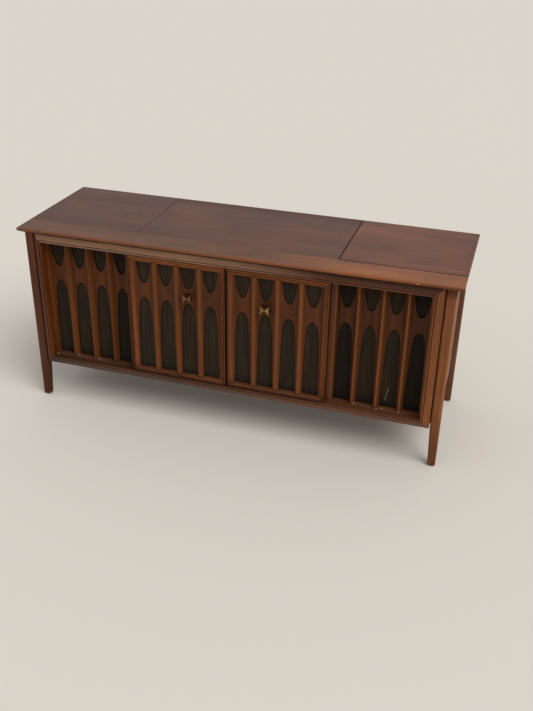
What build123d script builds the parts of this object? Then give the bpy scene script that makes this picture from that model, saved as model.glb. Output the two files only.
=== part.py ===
"""Long low stereo console: walnut case on corner-post legs, two lift-up lids, two centre doors.

Millimetres. X runs to the right, Y to the back and Z up. The origin is on the floor, in the
middle of the overall width and depth. The record changer is under the left lid, the tuner
under the right one, the speakers behind the end grilles and the records behind the doors.
"""

import os
from math import cos, hypot, radians

from build123d import *

os.makedirs("parts", exist_ok=True)

SIDES = ((-1, "left"), (1, "right"))

# Overall size
top_width = 1524.0
top_depth = 483.0
total_height = 669.0

# Top slab and its undercut nose
slab_thick = 18.0
nose_height = 9.0
undercut_run = 14.0
nose_round = 2.5
front_rail_depth = 95.0
seam = 1.2

# Legs
side_overhang = 21.0
leg_front_setback = 15.0
leg_size = 32.0
leg_foot_size = 26.0
leg_corner_round = 5.0
glide_height = 5.0
glide_radius = 10.0
glide_rim = 1.0

# Case boards
board_thick = 18.0
side_panel_thick = 16.0
back_panel_thick = 4.0
back_inset = 16.0
rear_rail_height = 51.0
ledge_height = 180.0
seam_half_width = 352.5

# Front frame moulding
frame_width = 31.0
frame_groove = 3.0
frame_outer_setback = 14.6
frame_depth = 26.0
head_drop = 26.0
bead_radius = 3.0
bead_gap = 1.0
bead_step = 1.2
stile_return = 12.0

# Fretwork, shared by the bays and the doors
column_count = 4
bay_end_trim = 3.25
door_end_trim = 5.375
cup_depth = 99.0
bridge_height = 52.0
bay_cup_spread = 1.5
door_cup_inset = 2.4
arch_shares = ((0.43, 0.033), (0.70, 0.125), (0.81, 0.27), (0.92, 0.64))
cup_shares = ((0.30, 0.035), (0.47, 0.13), (0.70, 0.35), (0.86, 0.62))
fret_thick = 6.0
door_fret_thick = 5.0
rib_width = 22.0
rib_side_share = (0.72, 0.55)
rib_nose_share = (0.27, 0.95)
bay_rib_proud = 20.0
door_rib_proud = 9.0
end_rib_width = 8.0
bay_recess = 50.0
arch_sill = 3.0
cup_run_on = 15.0
cloth_thick = 1.0
glue_line = 0.05

# Doors
door_gap = 2.5
door_centre_gap = 3.5
door_edge_inset = 1.5
door_setback = 1.0
door_thick = 20.0
door_frame_width = 20.0
door_bevel_depth = 10.0
door_rebate_lap = 6.0
door_board_thick = 4.0
panel_clearance = 0.2

# Door pivots
pivot_inset = 9.0
pivot_radius = 2.5
pivot_reach = 8.0
pivot_root = 6.0
pivot_collar_radius = 4.0
bush_radius = 4.5
bush_length = 10.0
running_clearance = 0.05
face_clearance = 0.2

# Door catch and strike
catch_width = 30.0
catch_offset = 22.0
catch_depth = 16.0
catch_nose_height = 14.0
catch_drop = 8.0
strike_thick = 1.0
strike_margin = 2.0
catch_clearance = 0.3

# Door pull
pull_reach = 16.0
pull_face = 34.0
pull_base = 24.0
pull_waist = 19.0
pull_rim = 2.0
pull_waist_share = 0.35
pull_dish = 4.0
pull_scoop = 2.6
pull_above_apex = 23.0
pull_shank_radius = 3.0
pull_shank_reach = 5.0

# Lid hinges
barrel_radius = 2.4
barrel_offset = 2.6
pin_radius = 1.2
barrel_drop = 7.0
leaf_thick = 1.2
leaf_height = 20.0
leaf_clearance = 0.8
knuckle_length = 20.0
knuckle_gap = 0.3
hinge_end_inset = 53.75

# Lid stays
stay_front_inset = 89.4
stay_open = 80.0
stay_bar_height = 12.0
stay_bar_thick = 2.5
stay_offset = 2.0
stay_stud_radius = 3.0
stay_pin_radius = 2.5
stay_track_thick = 2.0
stay_track_gap = 1.0
stay_track_below = 7.0
stay_track_end = 6.0
stay_slot_clearance = 0.15
stay_flange_width = 12.0
stay_flange_thick = 1.5

# Speakers
baffle_thick = 12.0
speaker_side_margin = 29.75
speaker_gap = 10.0
woofer_flange = 14.0
basket_depth = 78.0
basket_wall = 2.0
magnet_share = 0.378
magnet_depth = 26.0
cone_thick = 1.2
cone_apex_share = 0.17
cone_depth = 52.0
surround_radius = 4.0
tweeter_radius = 38.0
tweeter_depth = 34.0
tweeter_flange = 8.0
tweeter_magnet_radius = 20.0
speaker_flange_thick = 3.0

# Record changer
deck_thick = 12.0
changer_well_depth = 99.0
deck_lap_x = 23.0
deck_lap_y = 29.0
plate_side_gap = 16.75
plate_end_gap = 27.0
plate_skirt = 14.0
plate_wall = 2.0
plate_round = 12.0
platter_side_margin = 6.0
platter_end_margin = 19.0
platter_shift_x = 18.0
platter_shift_y = 20.0
platter_rise = 2.0
platter_height = 20.0
platter_wall = 4.0
platter_top_thick = 3.0
hub_radius = 14.0
bearing_radius = 5.0
spindle_radius = 3.55
spindle_rise = 48.0
spindle_tip = 3.0
mat_thick = 3.0
mat_margin = 3.0
mat_recess = 0.8
idler_share = 0.15
idler_thick = 3.0
idler_bore = 2.5
pulley_radii = (5.6, 3.2, 2.4)
pulley_step = 4.0
pulley_bore = 1.5
drive_lift = 2.0
drive_gap = 0.3
idler_angle = 45.0
motor_share = 0.27
motor_depth = 44.0
motor_mount_drop = 3.0
motor_bearing = 20.0
motor_post_share = 0.7
arm_inset_x = 21.0
arm_inset_y = 54.0
turret_radius = 16.0
turret_post_radius = 5.0
turret_post_drop = 10.0
fork_gap = 12.0
fork_wall = 3.0
fork_height = 16.0
arm_axle_radius = 1.5
arm_tube_radius = 3.5
arm_overhang = 2.2
arm_tail = 20.0
arm_weight_radius = 9.0
arm_weight_length = 18.0
head_length = 42.0
head_width = 16.0
head_height = 11.0
stylus_height = 5.0
stylus_radius = 1.0
stylus_setback = 9.0
record_clearance = 2.0
rest_back = 122.0
rest_width = 18.0
rest_thick = 8.0
rest_lip = 5.0
lever_inset_x = 25.0
lever_inset_y = 40.0
lever_hub_radius = 9.0
lever_length = 26.0
lever_width = 7.0
lever_height = 8.0
lever_post_radius = 3.0
lever_post_drop = 8.0

# Tuner and amplifier
tuner_deck_thick = 6.0
tuner_well_depth = 59.0
knob_clearance = 0.6
small_knob_radius = 15.0
big_knob_radius = 22.0
knob_height = 17.0
knob_taper = 2.0
knob_round = 1.5
knob_rim = 2.5
knob_row_y = 92.0
knob_inset = 45.0
dial_row_y = 70.0
big_knob_inset = 41.75
shaft_radius = 3.0
chassis_gap = 12.0
chassis_side_gap = 17.75
chassis_end_gap = 49.0
chassis_height = 62.0
chassis_wall = 1.5
pot_radius = 11.0
pot_depth = 16.0
standoff_radius = 5.0
standoff_inset = 14.0
transformer_width = 78.0
transformer_depth = 66.0
transformer_height = 62.0
transformer_inset = 22.0
works_setback = 111.0
can_radius = 14.0
can_height = 48.0
can_pitch = 40.0
can_inset = 7.0
dial_gap = 15.0
dial_depth = 54.0
dial_board_thick = 3.0
dial_lap = 8.0
rail_radius = 1.0
rail_above = 2.0
rail_setback = 8.0
pointer_width = 5.0
pointer_needle = 1.2
pointer_length = 40.0
apron_width = 120.0
apron_height = 40.0
apron_thick = 2.0
apron_drop = 74.0
terminal_width = 10.0
terminal_reach = 8.0
terminal_pitch = 20.0
inlet_radius = 9.0
inlet_bore = 4.0
inlet_reach = 6.0

# Back panel vents and cut-outs
vent_margin = 59.75
vent_bridge = 24.0
vent_height = 7.0
vent_pitch_z = 22.0
vent_columns = 3
vent_rows = 6
vent_level_share = 0.35

# Record dividers
divider_thick = 6.0
divider_height = 230.0
divider_front_height = 150.0
divider_setback = 101.0
divider_pitch = 170.0
divider_foot_width = 40.0
divider_foot_height = 10.0

# Levels and planes that the sizes above give
underside = total_height - slab_thick
nose_bottom = total_height - nose_height
pull_overhang = pull_reach - door_setback - door_bevel_depth
barrel_overhang = barrel_offset + barrel_radius
front = (pull_overhang - top_depth - barrel_overhang) / 2
rear = front + top_depth
leg_outer = top_width / 2 - side_overhang
leg_inner = leg_outer - leg_size
opening_half = leg_inner - frame_groove - frame_width
opening_top = underside - head_drop
frame_back = front + frame_depth
partition_in = seam_half_width - board_thick / 2
partition_out = seam_half_width + board_thick / 2
case_back = rear - back_inset
bay_face = front + bay_recess
bay_centre = (partition_out + opening_half) / 2
baffle_face = bay_face + fret_thick + cloth_thick
baffle_back = baffle_face + baffle_thick
bay_width = opening_half - partition_out
cup_bottom_height = opening_top - cup_depth
arch_apex_height = cup_bottom_height - bridge_height
pull_height = arch_apex_height + pull_above_apex
well_centre_x = (partition_out + leg_inner) / 2
well_centre_y = (baffle_back + case_back) / 2
well_width = leg_inner - partition_out
well_depth = case_back - baffle_back
strip_back = front + front_rail_depth
lid_front = strip_back + seam
lid_inner = seam_half_width + seam / 2
hinge_y = rear + barrel_offset
hinge_z = underside - barrel_drop
deck_height = underside - changer_well_depth
tuner_deck_height = underside - tuner_well_depth


def keep(piece, name):
    """Label a finished piece and write it."""
    piece.part.label = name
    export_step(piece.part, f"parts/{name}.step")


def block(x_ends, y_ends, z_ends, mode=Mode.ADD):
    """A box between two places on each axis, in either order."""
    low = [min(ends) for ends in (x_ends, y_ends, z_ends)]
    size = [abs(ends[1] - ends[0]) for ends in (x_ends, y_ends, z_ends)]
    with Locations(tuple(low)):
        Box(*size, align=(Align.MIN, Align.MIN, Align.MIN), mode=mode)


def rod(x, y, z_ends, radius, mode=Mode.ADD):
    """An upright cylinder between two levels."""
    low = min(z_ends)
    with Locations((x, y, low)):
        Cylinder(radius, max(z_ends) - low, align=(Align.CENTER, Align.CENTER, Align.MIN), mode=mode)


def cross_rod(x_ends, y, z, radius, mode=Mode.ADD):
    """A cylinder along X between two places."""
    low = min(x_ends)
    with Locations(Location((low, y, z), (0, 90, 0))):
        Cylinder(radius, max(x_ends) - low, align=(Align.CENTER, Align.CENTER, Align.MIN), mode=mode)


def deep_rod(x, y_ends, z, radius, mode=Mode.ADD):
    """A cylinder along Y between two places."""
    low = min(y_ends)
    with Locations(Location((x, low, z), (-90, 0, 0))):
        Cylinder(radius, max(y_ends) - low, align=(Align.CENTER, Align.CENTER, Align.MIN), mode=mode)


# Top: fixed front strip, fixed centre and two lids
def top_piece(x_ends, y_ends, undercut_left, undercut_right, undercut_front):
    """A slab whose free edges have a thin nose with a bevel under it."""
    x_low = x_ends[0] + undercut_left
    x_high = x_ends[1] - undercut_right
    y_low = y_ends[0] + undercut_front
    with BuildPart() as piece:
        with BuildSketch(Plane.XY.offset(underside)):
            with Locations(((x_low + x_high) / 2, (y_low + y_ends[1]) / 2)):
                Rectangle(x_high - x_low, y_ends[1] - y_low)
        with BuildSketch(Plane.XY.offset(nose_bottom)):
            with Locations(((x_ends[0] + x_ends[1]) / 2, (y_ends[0] + y_ends[1]) / 2)):
                Rectangle(x_ends[1] - x_ends[0], y_ends[1] - y_ends[0])
        loft(ruled=True)
        block(x_ends, y_ends, (nose_bottom, total_height))
        top_edges = piece.edges().group_by(Axis.Z)[-1]
        if undercut_front:
            fillet(top_edges.sort_by(Axis.Y)[0], nose_round)
        top_edges = piece.edges().group_by(Axis.Z)[-1]
        if undercut_left:
            fillet(top_edges.sort_by(Axis.X)[0], nose_round)
        top_edges = piece.edges().group_by(Axis.Z)[-1]
        if undercut_right:
            fillet(top_edges.sort_by(Axis.X)[-1], nose_round)
    return piece


half_top = top_width / 2
keep(
    top_piece((-half_top, half_top), (front, strip_back), undercut_run, undercut_run, undercut_run),
    "top_front_rail",
)
centre_half = seam_half_width - seam / 2
keep(top_piece((-centre_half, centre_half), (strip_back, rear), 0, 0, 0), "top_centre_panel")
keep(top_piece((-half_top, -lid_inner), (lid_front, rear), undercut_run, 0, 0), "left_lid")
keep(top_piece((lid_inner, half_top), (lid_front, rear), 0, undercut_run, 0), "right_lid")


# Legs: corner posts that run up the case and taper inwards below it
def leg_pair(y_outer, inward):
    """Two posts whose outer faces stay upright, with y_outer on the front or back face."""
    with BuildPart() as pair:
        for side, _ in SIDES:
            for level, size in ((glide_height, leg_foot_size), (ledge_height - frame_width, leg_size)):
                with BuildSketch(Plane.XY.offset(level)):
                    with Locations((side * (leg_outer - size / 2), y_outer + inward * size / 2)):
                        RectangleRounded(size, size, leg_corner_round)
            loft(ruled=True)
            with BuildSketch(Plane.XY.offset(ledge_height - frame_width)):
                with Locations((side * (leg_outer - leg_size / 2), y_outer + inward * leg_size / 2)):
                    RectangleRounded(leg_size, leg_size, leg_corner_round)
            extrude(amount=underside - ledge_height + frame_width)
    return pair


leg_front = front + leg_front_setback
keep(leg_pair(leg_front, 1), "front_legs")
keep(leg_pair(rear, -1), "rear_legs")

with BuildPart() as foot_glides:
    for side, _ in SIDES:
        for y_outer, inward in ((leg_front, 1), (rear, -1)):
            foot_x = side * (leg_outer - leg_foot_size / 2)
            foot_y = y_outer + inward * leg_foot_size / 2
            with BuildSketch(Plane.XY.offset(0)):
                with Locations((foot_x, foot_y)):
                    Circle(glide_radius - glide_rim)
            with BuildSketch(Plane.XY.offset(glide_rim)):
                with Locations((foot_x, foot_y)):
                    Circle(glide_radius)
            loft(ruled=True)
            rod(foot_x, foot_y, (glide_rim, glide_height), glide_radius)
keep(foot_glides, "foot_glides")

# Case boards
leg_back = leg_front + leg_size
for side, name in SIDES:
    with BuildPart() as side_panel:
        block(
            (side * leg_inner, side * (leg_inner + side_panel_thick)),
            (leg_back, rear - leg_size),
            (ledge_height - frame_width, underside),
        )
    keep(side_panel, f"{name}_side_panel")

    with BuildPart() as partition:
        block((side * partition_in, side * partition_out), (frame_back, case_back), (ledge_height, underside))
    keep(partition, f"{name}_partition")

with BuildPart() as bottom_panel:
    block((-leg_inner, leg_inner), (frame_back, case_back), (ledge_height - board_thick, ledge_height))
keep(bottom_panel, "bottom_panel")

rail_bottom = underside - rear_rail_height
with BuildPart() as rear_rail:
    block((-leg_inner, leg_inner), (case_back, rear), (rail_bottom, underside))
keep(rear_rail, "rear_rail")

tuner_bottom = tuner_deck_height - tuner_deck_thick
chassis_top = tuner_bottom - chassis_gap
apron_x = well_centre_x
apron_level = chassis_top - apron_drop
panel_bottom = ledge_height - board_thick
vent_level = panel_bottom + vent_level_share * (rail_bottom - panel_bottom)
vent_group = well_width - 2 * vent_margin
vent_length = (vent_group - (vent_columns - 1) * vent_bridge) / vent_columns
with BuildPart() as back_panel:
    block((-leg_inner, leg_inner), (case_back, case_back + back_panel_thick), (panel_bottom, rail_bottom))
    for centre in (-well_centre_x, 0, well_centre_x):
        with Locations(Location((centre, case_back, vent_level), (-90, 0, 0))):
            with GridLocations(vent_length + vent_bridge, vent_pitch_z, vent_columns, vent_rows):
                Box(
                    vent_length,
                    vent_height,
                    back_panel_thick,
                    align=(Align.CENTER, Align.CENTER, Align.MIN),
                    mode=Mode.SUBTRACT,
                )
    block(
        (apron_x - apron_width / 2, apron_x + apron_width / 2),
        (case_back, case_back + back_panel_thick),
        (apron_level - apron_height / 2, apron_level + apron_height / 2),
        mode=Mode.SUBTRACT,
    )
keep(back_panel, "back_panel")


# Front frame: four mitred lengths of one moulding
def frame_member(plane, reach, place, mitres):
    """One moulding length. place(out, back) gives its sketch point, out from the inner edge."""
    second = 2 * bead_radius + bead_gap
    slope_start = second + 2 * bead_radius
    with BuildPart() as member:
        with BuildSketch(plane):
            with BuildLine():
                ThreePointArc(
                    place(0, bead_radius), place(bead_radius, 0), place(2 * bead_radius, bead_radius)
                )
                Line(place(2 * bead_radius, bead_radius), place(second, bead_radius + bead_step))
                ThreePointArc(
                    place(second, bead_radius + bead_step),
                    place(second + bead_radius, bead_step),
                    place(slope_start, bead_radius + bead_step),
                )
                Polyline(
                    place(slope_start, bead_radius + bead_step),
                    place(frame_width, frame_outer_setback),
                    place(frame_width, frame_depth),
                    place(0, frame_depth),
                    place(0, bead_radius),
                )
            make_face()
        extrude(amount=reach, both=True)
        for mitre in mitres:
            split(bisect_by=mitre, keep=Keep.TOP)
    return member


def mitre(side, level, toward_x, toward_z):
    """The 45 degree plane through an inner corner, facing the side that is kept."""
    return Plane(origin=(side * opening_half, 0, level), z_dir=(toward_x, 0, toward_z))


frame_half = opening_half + frame_width
bottom_mitres = [mitre(-1, ledge_height, 1, -1), mitre(1, ledge_height, -1, -1)]
keep(
    frame_member(Plane.YZ, frame_half, lambda out, back: (front + back, ledge_height - out), bottom_mitres),
    "frame_bottom_rail",
)
head_mitres = [mitre(-1, opening_top, 1, 1), mitre(1, opening_top, -1, 1)]
frame_top_rail = frame_member(
    Plane.YZ, frame_half, lambda out, back: (front + back, opening_top + out), head_mitres
)
head_excess = opening_top + frame_width - underside
with BuildPart() as trimmed_top_rail:
    add(frame_top_rail.part)
    block(
        (-frame_half, frame_half),
        (front, frame_back),
        (underside, underside + head_excess),
        mode=Mode.SUBTRACT,
    )
    for side, _ in SIDES:
        pivot_x = side * (seam_half_width - door_edge_inset - pivot_inset)
        rod(
            pivot_x,
            front + door_setback + door_thick / 2,
            (opening_top, opening_top + pivot_root),
            pivot_radius,
            mode=Mode.SUBTRACT,
        )
keep(trimmed_top_rail, "frame_top_rail")

stile_middle = (ledge_height + underside) / 2
stile_reach = (underside - ledge_height) / 2 + frame_width
for side, name in SIDES:
    stile_mitres = [mitre(side, ledge_height, side, 1), mitre(side, opening_top, side, -1)]
    moulded = frame_member(
        Plane.XY.offset(stile_middle),
        stile_reach,
        lambda out, back, side=side: (side * (opening_half + out), front + back),
        stile_mitres,
    )
    with BuildPart() as stile:
        add(moulded.part)
        block(
            (side * opening_half, side * frame_half),
            (front, frame_back),
            (underside, underside + head_excess),
            mode=Mode.SUBTRACT,
        )
        block(
            (side * opening_half, side * (opening_half + stile_return)),
            (frame_back, baffle_face),
            (ledge_height, underside),
        )
    keep(stile, f"frame_{name}_stile")


# Fretwork: a board with arches below and cups above, and ribs between the columns
def arch_outline(centre, bottom, half):
    """Points of the lower arch from one foot over the apex to the other."""
    tall = arch_apex_height - bottom
    left = [(centre - half * wide, arch_apex_height - tall * deep) for wide, deep in reversed(arch_shares)]
    right = [(centre + half * wide, arch_apex_height - tall * deep) for wide, deep in arch_shares]
    feet = ((centre - half, bottom), (centre + half, bottom))
    return [feet[0], *left, (centre, arch_apex_height), *right, feet[1]]


def cup_outline(centre, top, half):
    """Points of the upper cup from one rim down to the bottom and up to the other."""
    tall = top - cup_bottom_height
    left = [(centre - half * wide, cup_bottom_height + tall * up) for wide, up in reversed(cup_shares)]
    right = [(centre + half * wide, cup_bottom_height + tall * up) for wide, up in cup_shares]
    rims = ((centre - half, top), (centre + half, top))
    return [rims[0], *left, (centre, cup_bottom_height), *right, rims[1]]


def fretwork(x_ends, z_ends, face, thick, centres, arch_bottom, cup_top, cup_spread, rib_proud, end_ribs):
    """The fretted board with its ribs. face is the board's front plane."""
    arch_half = (centres[1] - centres[0] - rib_width) / 2
    with BuildPart() as board:
        block(x_ends, (face, face + thick), z_ends)
        with BuildSketch(Plane.XZ.offset(-face)):
            for centre in centres:
                for outline in (
                    arch_outline(centre, arch_bottom, arch_half),
                    cup_outline(centre, cup_top, arch_half + cup_spread),
                ):
                    with BuildLine():
                        Spline(*outline)
                        Line(outline[-1], outline[0])
                    make_face()
        extrude(amount=-thick, mode=Mode.SUBTRACT)
        back = face - glue_line
        with BuildSketch(Plane.XY.offset(arch_bottom)):
            for middle in [(a + b) / 2 for a, b in zip(centres[:-1], centres[1:])]:
                half = rib_width / 2
                side_point = (half * rib_side_share[0], rib_proud * rib_side_share[1])
                nose_point = (half * rib_nose_share[0], rib_proud * rib_nose_share[1])
                with BuildLine():
                    ThreePointArc(
                        (middle - half, back),
                        (middle - side_point[0], face - side_point[1]),
                        (middle - nose_point[0], face - nose_point[1]),
                    )
                    ThreePointArc(
                        (middle - nose_point[0], face - nose_point[1]),
                        (middle, face - rib_proud),
                        (middle + nose_point[0], face - nose_point[1]),
                    )
                    ThreePointArc(
                        (middle + nose_point[0], face - nose_point[1]),
                        (middle + side_point[0], face - side_point[1]),
                        (middle + half, back),
                    )
                    Line((middle + half, back), (middle - half, back))
                make_face()
        extrude(amount=z_ends[1] - arch_bottom)
        if end_ribs:
            for low, high in ((x_ends[0], x_ends[0] + end_rib_width), (x_ends[1] - end_rib_width, x_ends[1])):
                block((low, high), (face - rib_proud, back), (arch_bottom, z_ends[1]))
    return board


def column_centres(low, high, end_trim):
    """The column centres of a section. end_trim is what its end columns lack in width."""
    pitch = (high - low + 2 * end_trim) / column_count
    return [low - end_trim + pitch * (step + 1 / 2) for step in range(column_count)]


for side, name in SIDES:
    bay_ends = sorted((side * partition_out, side * opening_half))
    keep(
        fretwork(
            bay_ends,
            (ledge_height, underside),
            bay_face,
            fret_thick,
            column_centres(*bay_ends, bay_end_trim),
            ledge_height + arch_sill,
            opening_top + cup_run_on,
            bay_cup_spread,
            bay_rib_proud,
            True,
        ),
        f"{name}_fretwork",
    )

with BuildPart() as grille_cloths:
    for side, _ in SIDES:
        block(
            (side * partition_out, side * opening_half),
            (bay_face + fret_thick, baffle_face),
            (ledge_height, underside),
        )
keep(grille_cloths, "grille_cloths")

# Speaker baffles, woofers and tweeters. The woofer fills what the bay's width or height leaves
speaker_space = deck_height - deck_thick - ledge_height
woofer_radius = min(
    bay_width / 2 - speaker_side_margin,
    (speaker_space - 2 * tweeter_radius - 3 * speaker_gap) / 2,
)
woofer_height = ledge_height + speaker_gap + woofer_radius
tweeter_height = woofer_height + woofer_radius + speaker_gap + tweeter_radius
magnet_radius = magnet_share * woofer_radius
cone_apex_radius = cone_apex_share * woofer_radius
with BuildPart() as speaker_baffles:
    for side, _ in SIDES:
        block((side * partition_out, side * leg_inner), (baffle_face, baffle_back), (ledge_height, underside))
        for level, radius in (
            (woofer_height, woofer_radius - woofer_flange),
            (tweeter_height, tweeter_radius - tweeter_flange),
        ):
            deep_rod(side * bay_centre, (baffle_face, baffle_back), level, radius, mode=Mode.SUBTRACT)
keep(speaker_baffles, "speaker_baffles")


def driver(centre_x, level, outline):
    """A turned speaker piece. outline holds (radius, depth behind the baffle) points."""
    with BuildPart() as turned:
        with BuildSketch(Plane.XY.offset(level)):
            with BuildLine():
                Polyline(*[(centre_x + radius, baffle_back + depth) for radius, depth in outline], close=True)
            make_face()
        revolve(axis=Axis((centre_x, 0, level), (0, 1, 0)))
    return turned


hole_radius = woofer_radius - woofer_flange
basket_outline = (
    (hole_radius + cone_thick, 0),
    (woofer_radius, 0),
    (woofer_radius, speaker_flange_thick),
    (hole_radius + basket_wall + cone_thick, speaker_flange_thick),
    (magnet_radius, basket_depth),
    (magnet_radius, basket_depth + magnet_depth),
    (0, basket_depth + magnet_depth),
    (0, basket_depth),
    (magnet_radius - basket_wall, basket_depth),
    (hole_radius + cone_thick, speaker_flange_thick),
)
cone_outline = (
    (hole_radius + cone_thick, 0),
    (hole_radius + cone_thick, cone_thick),
    (hole_radius - surround_radius, cone_thick),
    (cone_apex_radius, cone_depth),
    (0, cone_depth),
    (0, cone_depth - cone_thick),
    (cone_apex_radius - cone_thick, cone_depth - cone_thick),
    (hole_radius - surround_radius - cone_thick, 0),
)
tweeter_outline = (
    (0, cone_thick),
    (tweeter_radius - tweeter_flange, 0),
    (tweeter_radius, 0),
    (tweeter_radius, speaker_flange_thick),
    (tweeter_magnet_radius, speaker_flange_thick + cone_thick),
    (tweeter_magnet_radius, tweeter_depth),
    (0, tweeter_depth),
)
with BuildPart() as woofers:
    for side, _ in SIDES:
        add(driver(side * bay_centre, woofer_height, basket_outline).part)
        add(driver(side * bay_centre, woofer_height, cone_outline).part)
keep(woofers, "woofers")

with BuildPart() as tweeters:
    for side, _ in SIDES:
        add(driver(side * bay_centre, tweeter_height, tweeter_outline).part)
keep(tweeters, "tweeters")


# Doors: mitred frame, fretwork, cloth, thin back board, pull, pivot bushes and strike
door_bottom = ledge_height + door_gap
door_top = opening_top - door_gap
door_face = front + door_setback
door_back = door_face + door_thick
door_outer = seam_half_width - door_edge_inset
door_inner = door_centre_gap / 2
door_pivot_x = door_outer - pivot_inset
door_pivot_y = door_face + door_thick / 2
fret_face = door_face + door_bevel_depth
second_bead = 2 * bead_radius + bead_gap
bevel_start = second_bead + 2 * bead_radius - bead_gap
door_section = (
    (bevel_start, bead_radius + bead_step),
    (door_frame_width, door_bevel_depth),
    (door_frame_width - door_rebate_lap, door_bevel_depth),
    (door_frame_width - door_rebate_lap, door_thick),
    (0, door_thick),
    (0, bead_radius),
)


def door_member(plane, reach, place, mitres):
    """One length of door moulding. place(inward, back) gives its sketch point."""
    with BuildPart() as member:
        with BuildSketch(plane):
            with BuildLine():
                ThreePointArc(
                    place(0, bead_radius), place(bead_radius, 0), place(2 * bead_radius, bead_radius)
                )
                Line(place(2 * bead_radius, bead_radius), place(second_bead, bead_radius + bead_step))
                ThreePointArc(
                    place(second_bead, bead_radius + bead_step),
                    place((second_bead + bevel_start) / 2, bead_step),
                    place(bevel_start, bead_radius + bead_step),
                )
                Polyline(*[place(*point) for point in door_section])
            make_face()
        extrude(amount=reach, both=True)
        for cut in mitres:
            split(bisect_by=cut, keep=Keep.TOP)
    return member


for side, name in SIDES:
    low_x, high_x = sorted((side * door_inner, side * door_outer))
    middle_x = (low_x + high_x) / 2
    middle_z = (door_bottom + door_top) / 2
    half_x = (high_x - low_x) / 2
    half_z = (door_top - door_bottom) / 2
    corners = {
        "low_left": Plane(origin=(low_x, 0, door_bottom), z_dir=(1, 0, -1)),
        "low_right": Plane(origin=(high_x, 0, door_bottom), z_dir=(-1, 0, -1)),
        "high_left": Plane(origin=(low_x, 0, door_top), z_dir=(1, 0, 1)),
        "high_right": Plane(origin=(high_x, 0, door_top), z_dir=(-1, 0, 1)),
    }
    uprights = {place: (-corner).offset(glue_line) for place, corner in corners.items()}
    side_plane = Plane.YZ.offset(middle_x)
    level_plane = Plane.XY.offset(middle_z)
    members = (
        door_member(
            side_plane,
            half_x,
            lambda inward, back: (door_face + back, door_bottom + inward),
            (corners["low_left"], corners["low_right"]),
        ),
        door_member(
            side_plane,
            half_x,
            lambda inward, back: (door_face + back, door_top - inward),
            (corners["high_left"], corners["high_right"]),
        ),
        door_member(
            level_plane,
            half_z,
            lambda inward, back, low_x=low_x: (low_x + inward, door_face + back),
            (uprights["low_left"], uprights["high_left"]),
        ),
        door_member(
            level_plane,
            half_z,
            lambda inward, back, high_x=high_x: (high_x - inward, door_face + back),
            (uprights["low_right"], uprights["high_right"]),
        ),
    )
    rebate_low_x = low_x + door_frame_width - door_rebate_lap
    rebate_high_x = high_x - door_frame_width + door_rebate_lap
    rebate_bottom = door_bottom + door_frame_width - door_rebate_lap
    rebate_top = door_top - door_frame_width + door_rebate_lap
    with BuildPart() as door_frame:
        for member in members:
            add(member.part)
        block(
            (rebate_low_x + panel_clearance, rebate_high_x - panel_clearance),
            (door_back - door_board_thick + panel_clearance, door_back),
            (rebate_bottom + panel_clearance, rebate_top - panel_clearance),
        )
        for level, toward in ((door_bottom, 1), (door_top, -1)):
            rod(
                side * door_pivot_x,
                door_pivot_y,
                (level, level + toward * bush_length),
                bush_radius,
                mode=Mode.SUBTRACT,
            )
    keep(door_frame, f"{name}_door_frame")

    light_bottom = door_bottom + door_frame_width
    light_top = door_top - door_frame_width
    columns = column_centres(low_x + door_frame_width, high_x - door_frame_width, door_end_trim)
    fretted = fretwork(
        (rebate_low_x, rebate_high_x),
        (rebate_bottom, rebate_top),
        fret_face,
        door_fret_thick,
        columns,
        light_bottom,
        light_top,
        -door_cup_inset,
        door_rib_proud,
        False,
    )
    pull_x = columns[1] if side > 0 else columns[2]
    with BuildPart() as door_fretwork:
        add(fretted.part)
        add(door_frame.part, mode=Mode.SUBTRACT)
        deep_rod(
            pull_x,
            (fret_face, fret_face + door_fret_thick),
            pull_height,
            pull_shank_radius,
            mode=Mode.SUBTRACT,
        )
    keep(door_fretwork, f"{name}_door_fretwork")

    with BuildPart() as door_cloth:
        block(
            (rebate_low_x, rebate_high_x),
            (fret_face + door_fret_thick, fret_face + door_fret_thick + cloth_thick),
            (rebate_bottom, rebate_top),
        )
    keep(door_cloth, f"{name}_door_cloth")

    with BuildPart() as door_pull:
        waist_y = fret_face - pull_reach * pull_waist_share
        rim_y = fret_face - pull_reach + pull_rim
        for level, size in ((fret_face, pull_base), (waist_y, pull_waist), (rim_y, pull_face)):
            with BuildSketch(Plane.XZ.offset(-level)):
                with Locations((pull_x, pull_height)):
                    Rectangle(size, size)
        loft(ruled=True)
        block(
            (pull_x - pull_face / 2, pull_x + pull_face / 2),
            (rim_y, fret_face - pull_reach),
            (pull_height - pull_face / 2, pull_height + pull_face / 2),
        )
        scoop_radius = (pull_face**2 / 4 + pull_scoop**2) / (2 * pull_scoop)
        scoop_centre = pull_face / 2 - pull_scoop + scoop_radius
        for step_x, step_z in ((1, 0), (-1, 0), (0, 1), (0, -1)):
            deep_rod(
                pull_x + step_x * scoop_centre,
                (fret_face - pull_reach, waist_y),
                pull_height + step_z * scoop_centre,
                scoop_radius,
                mode=Mode.SUBTRACT,
            )
        with BuildSketch(Plane.XZ.offset(pull_reach - fret_face)):
            with Locations((pull_x, pull_height)):
                Rectangle(pull_face, pull_face)
        with BuildSketch(Plane.XZ.offset(pull_reach - fret_face - pull_dish)):
            with Locations((pull_x, pull_height)):
                Rectangle(pull_rim, pull_rim)
        loft(ruled=True, mode=Mode.SUBTRACT)
        deep_rod(pull_x, (fret_face, fret_face + pull_shank_reach), pull_height, pull_shank_radius)
    keep(door_pull, f"{name}_door_pull")

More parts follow.
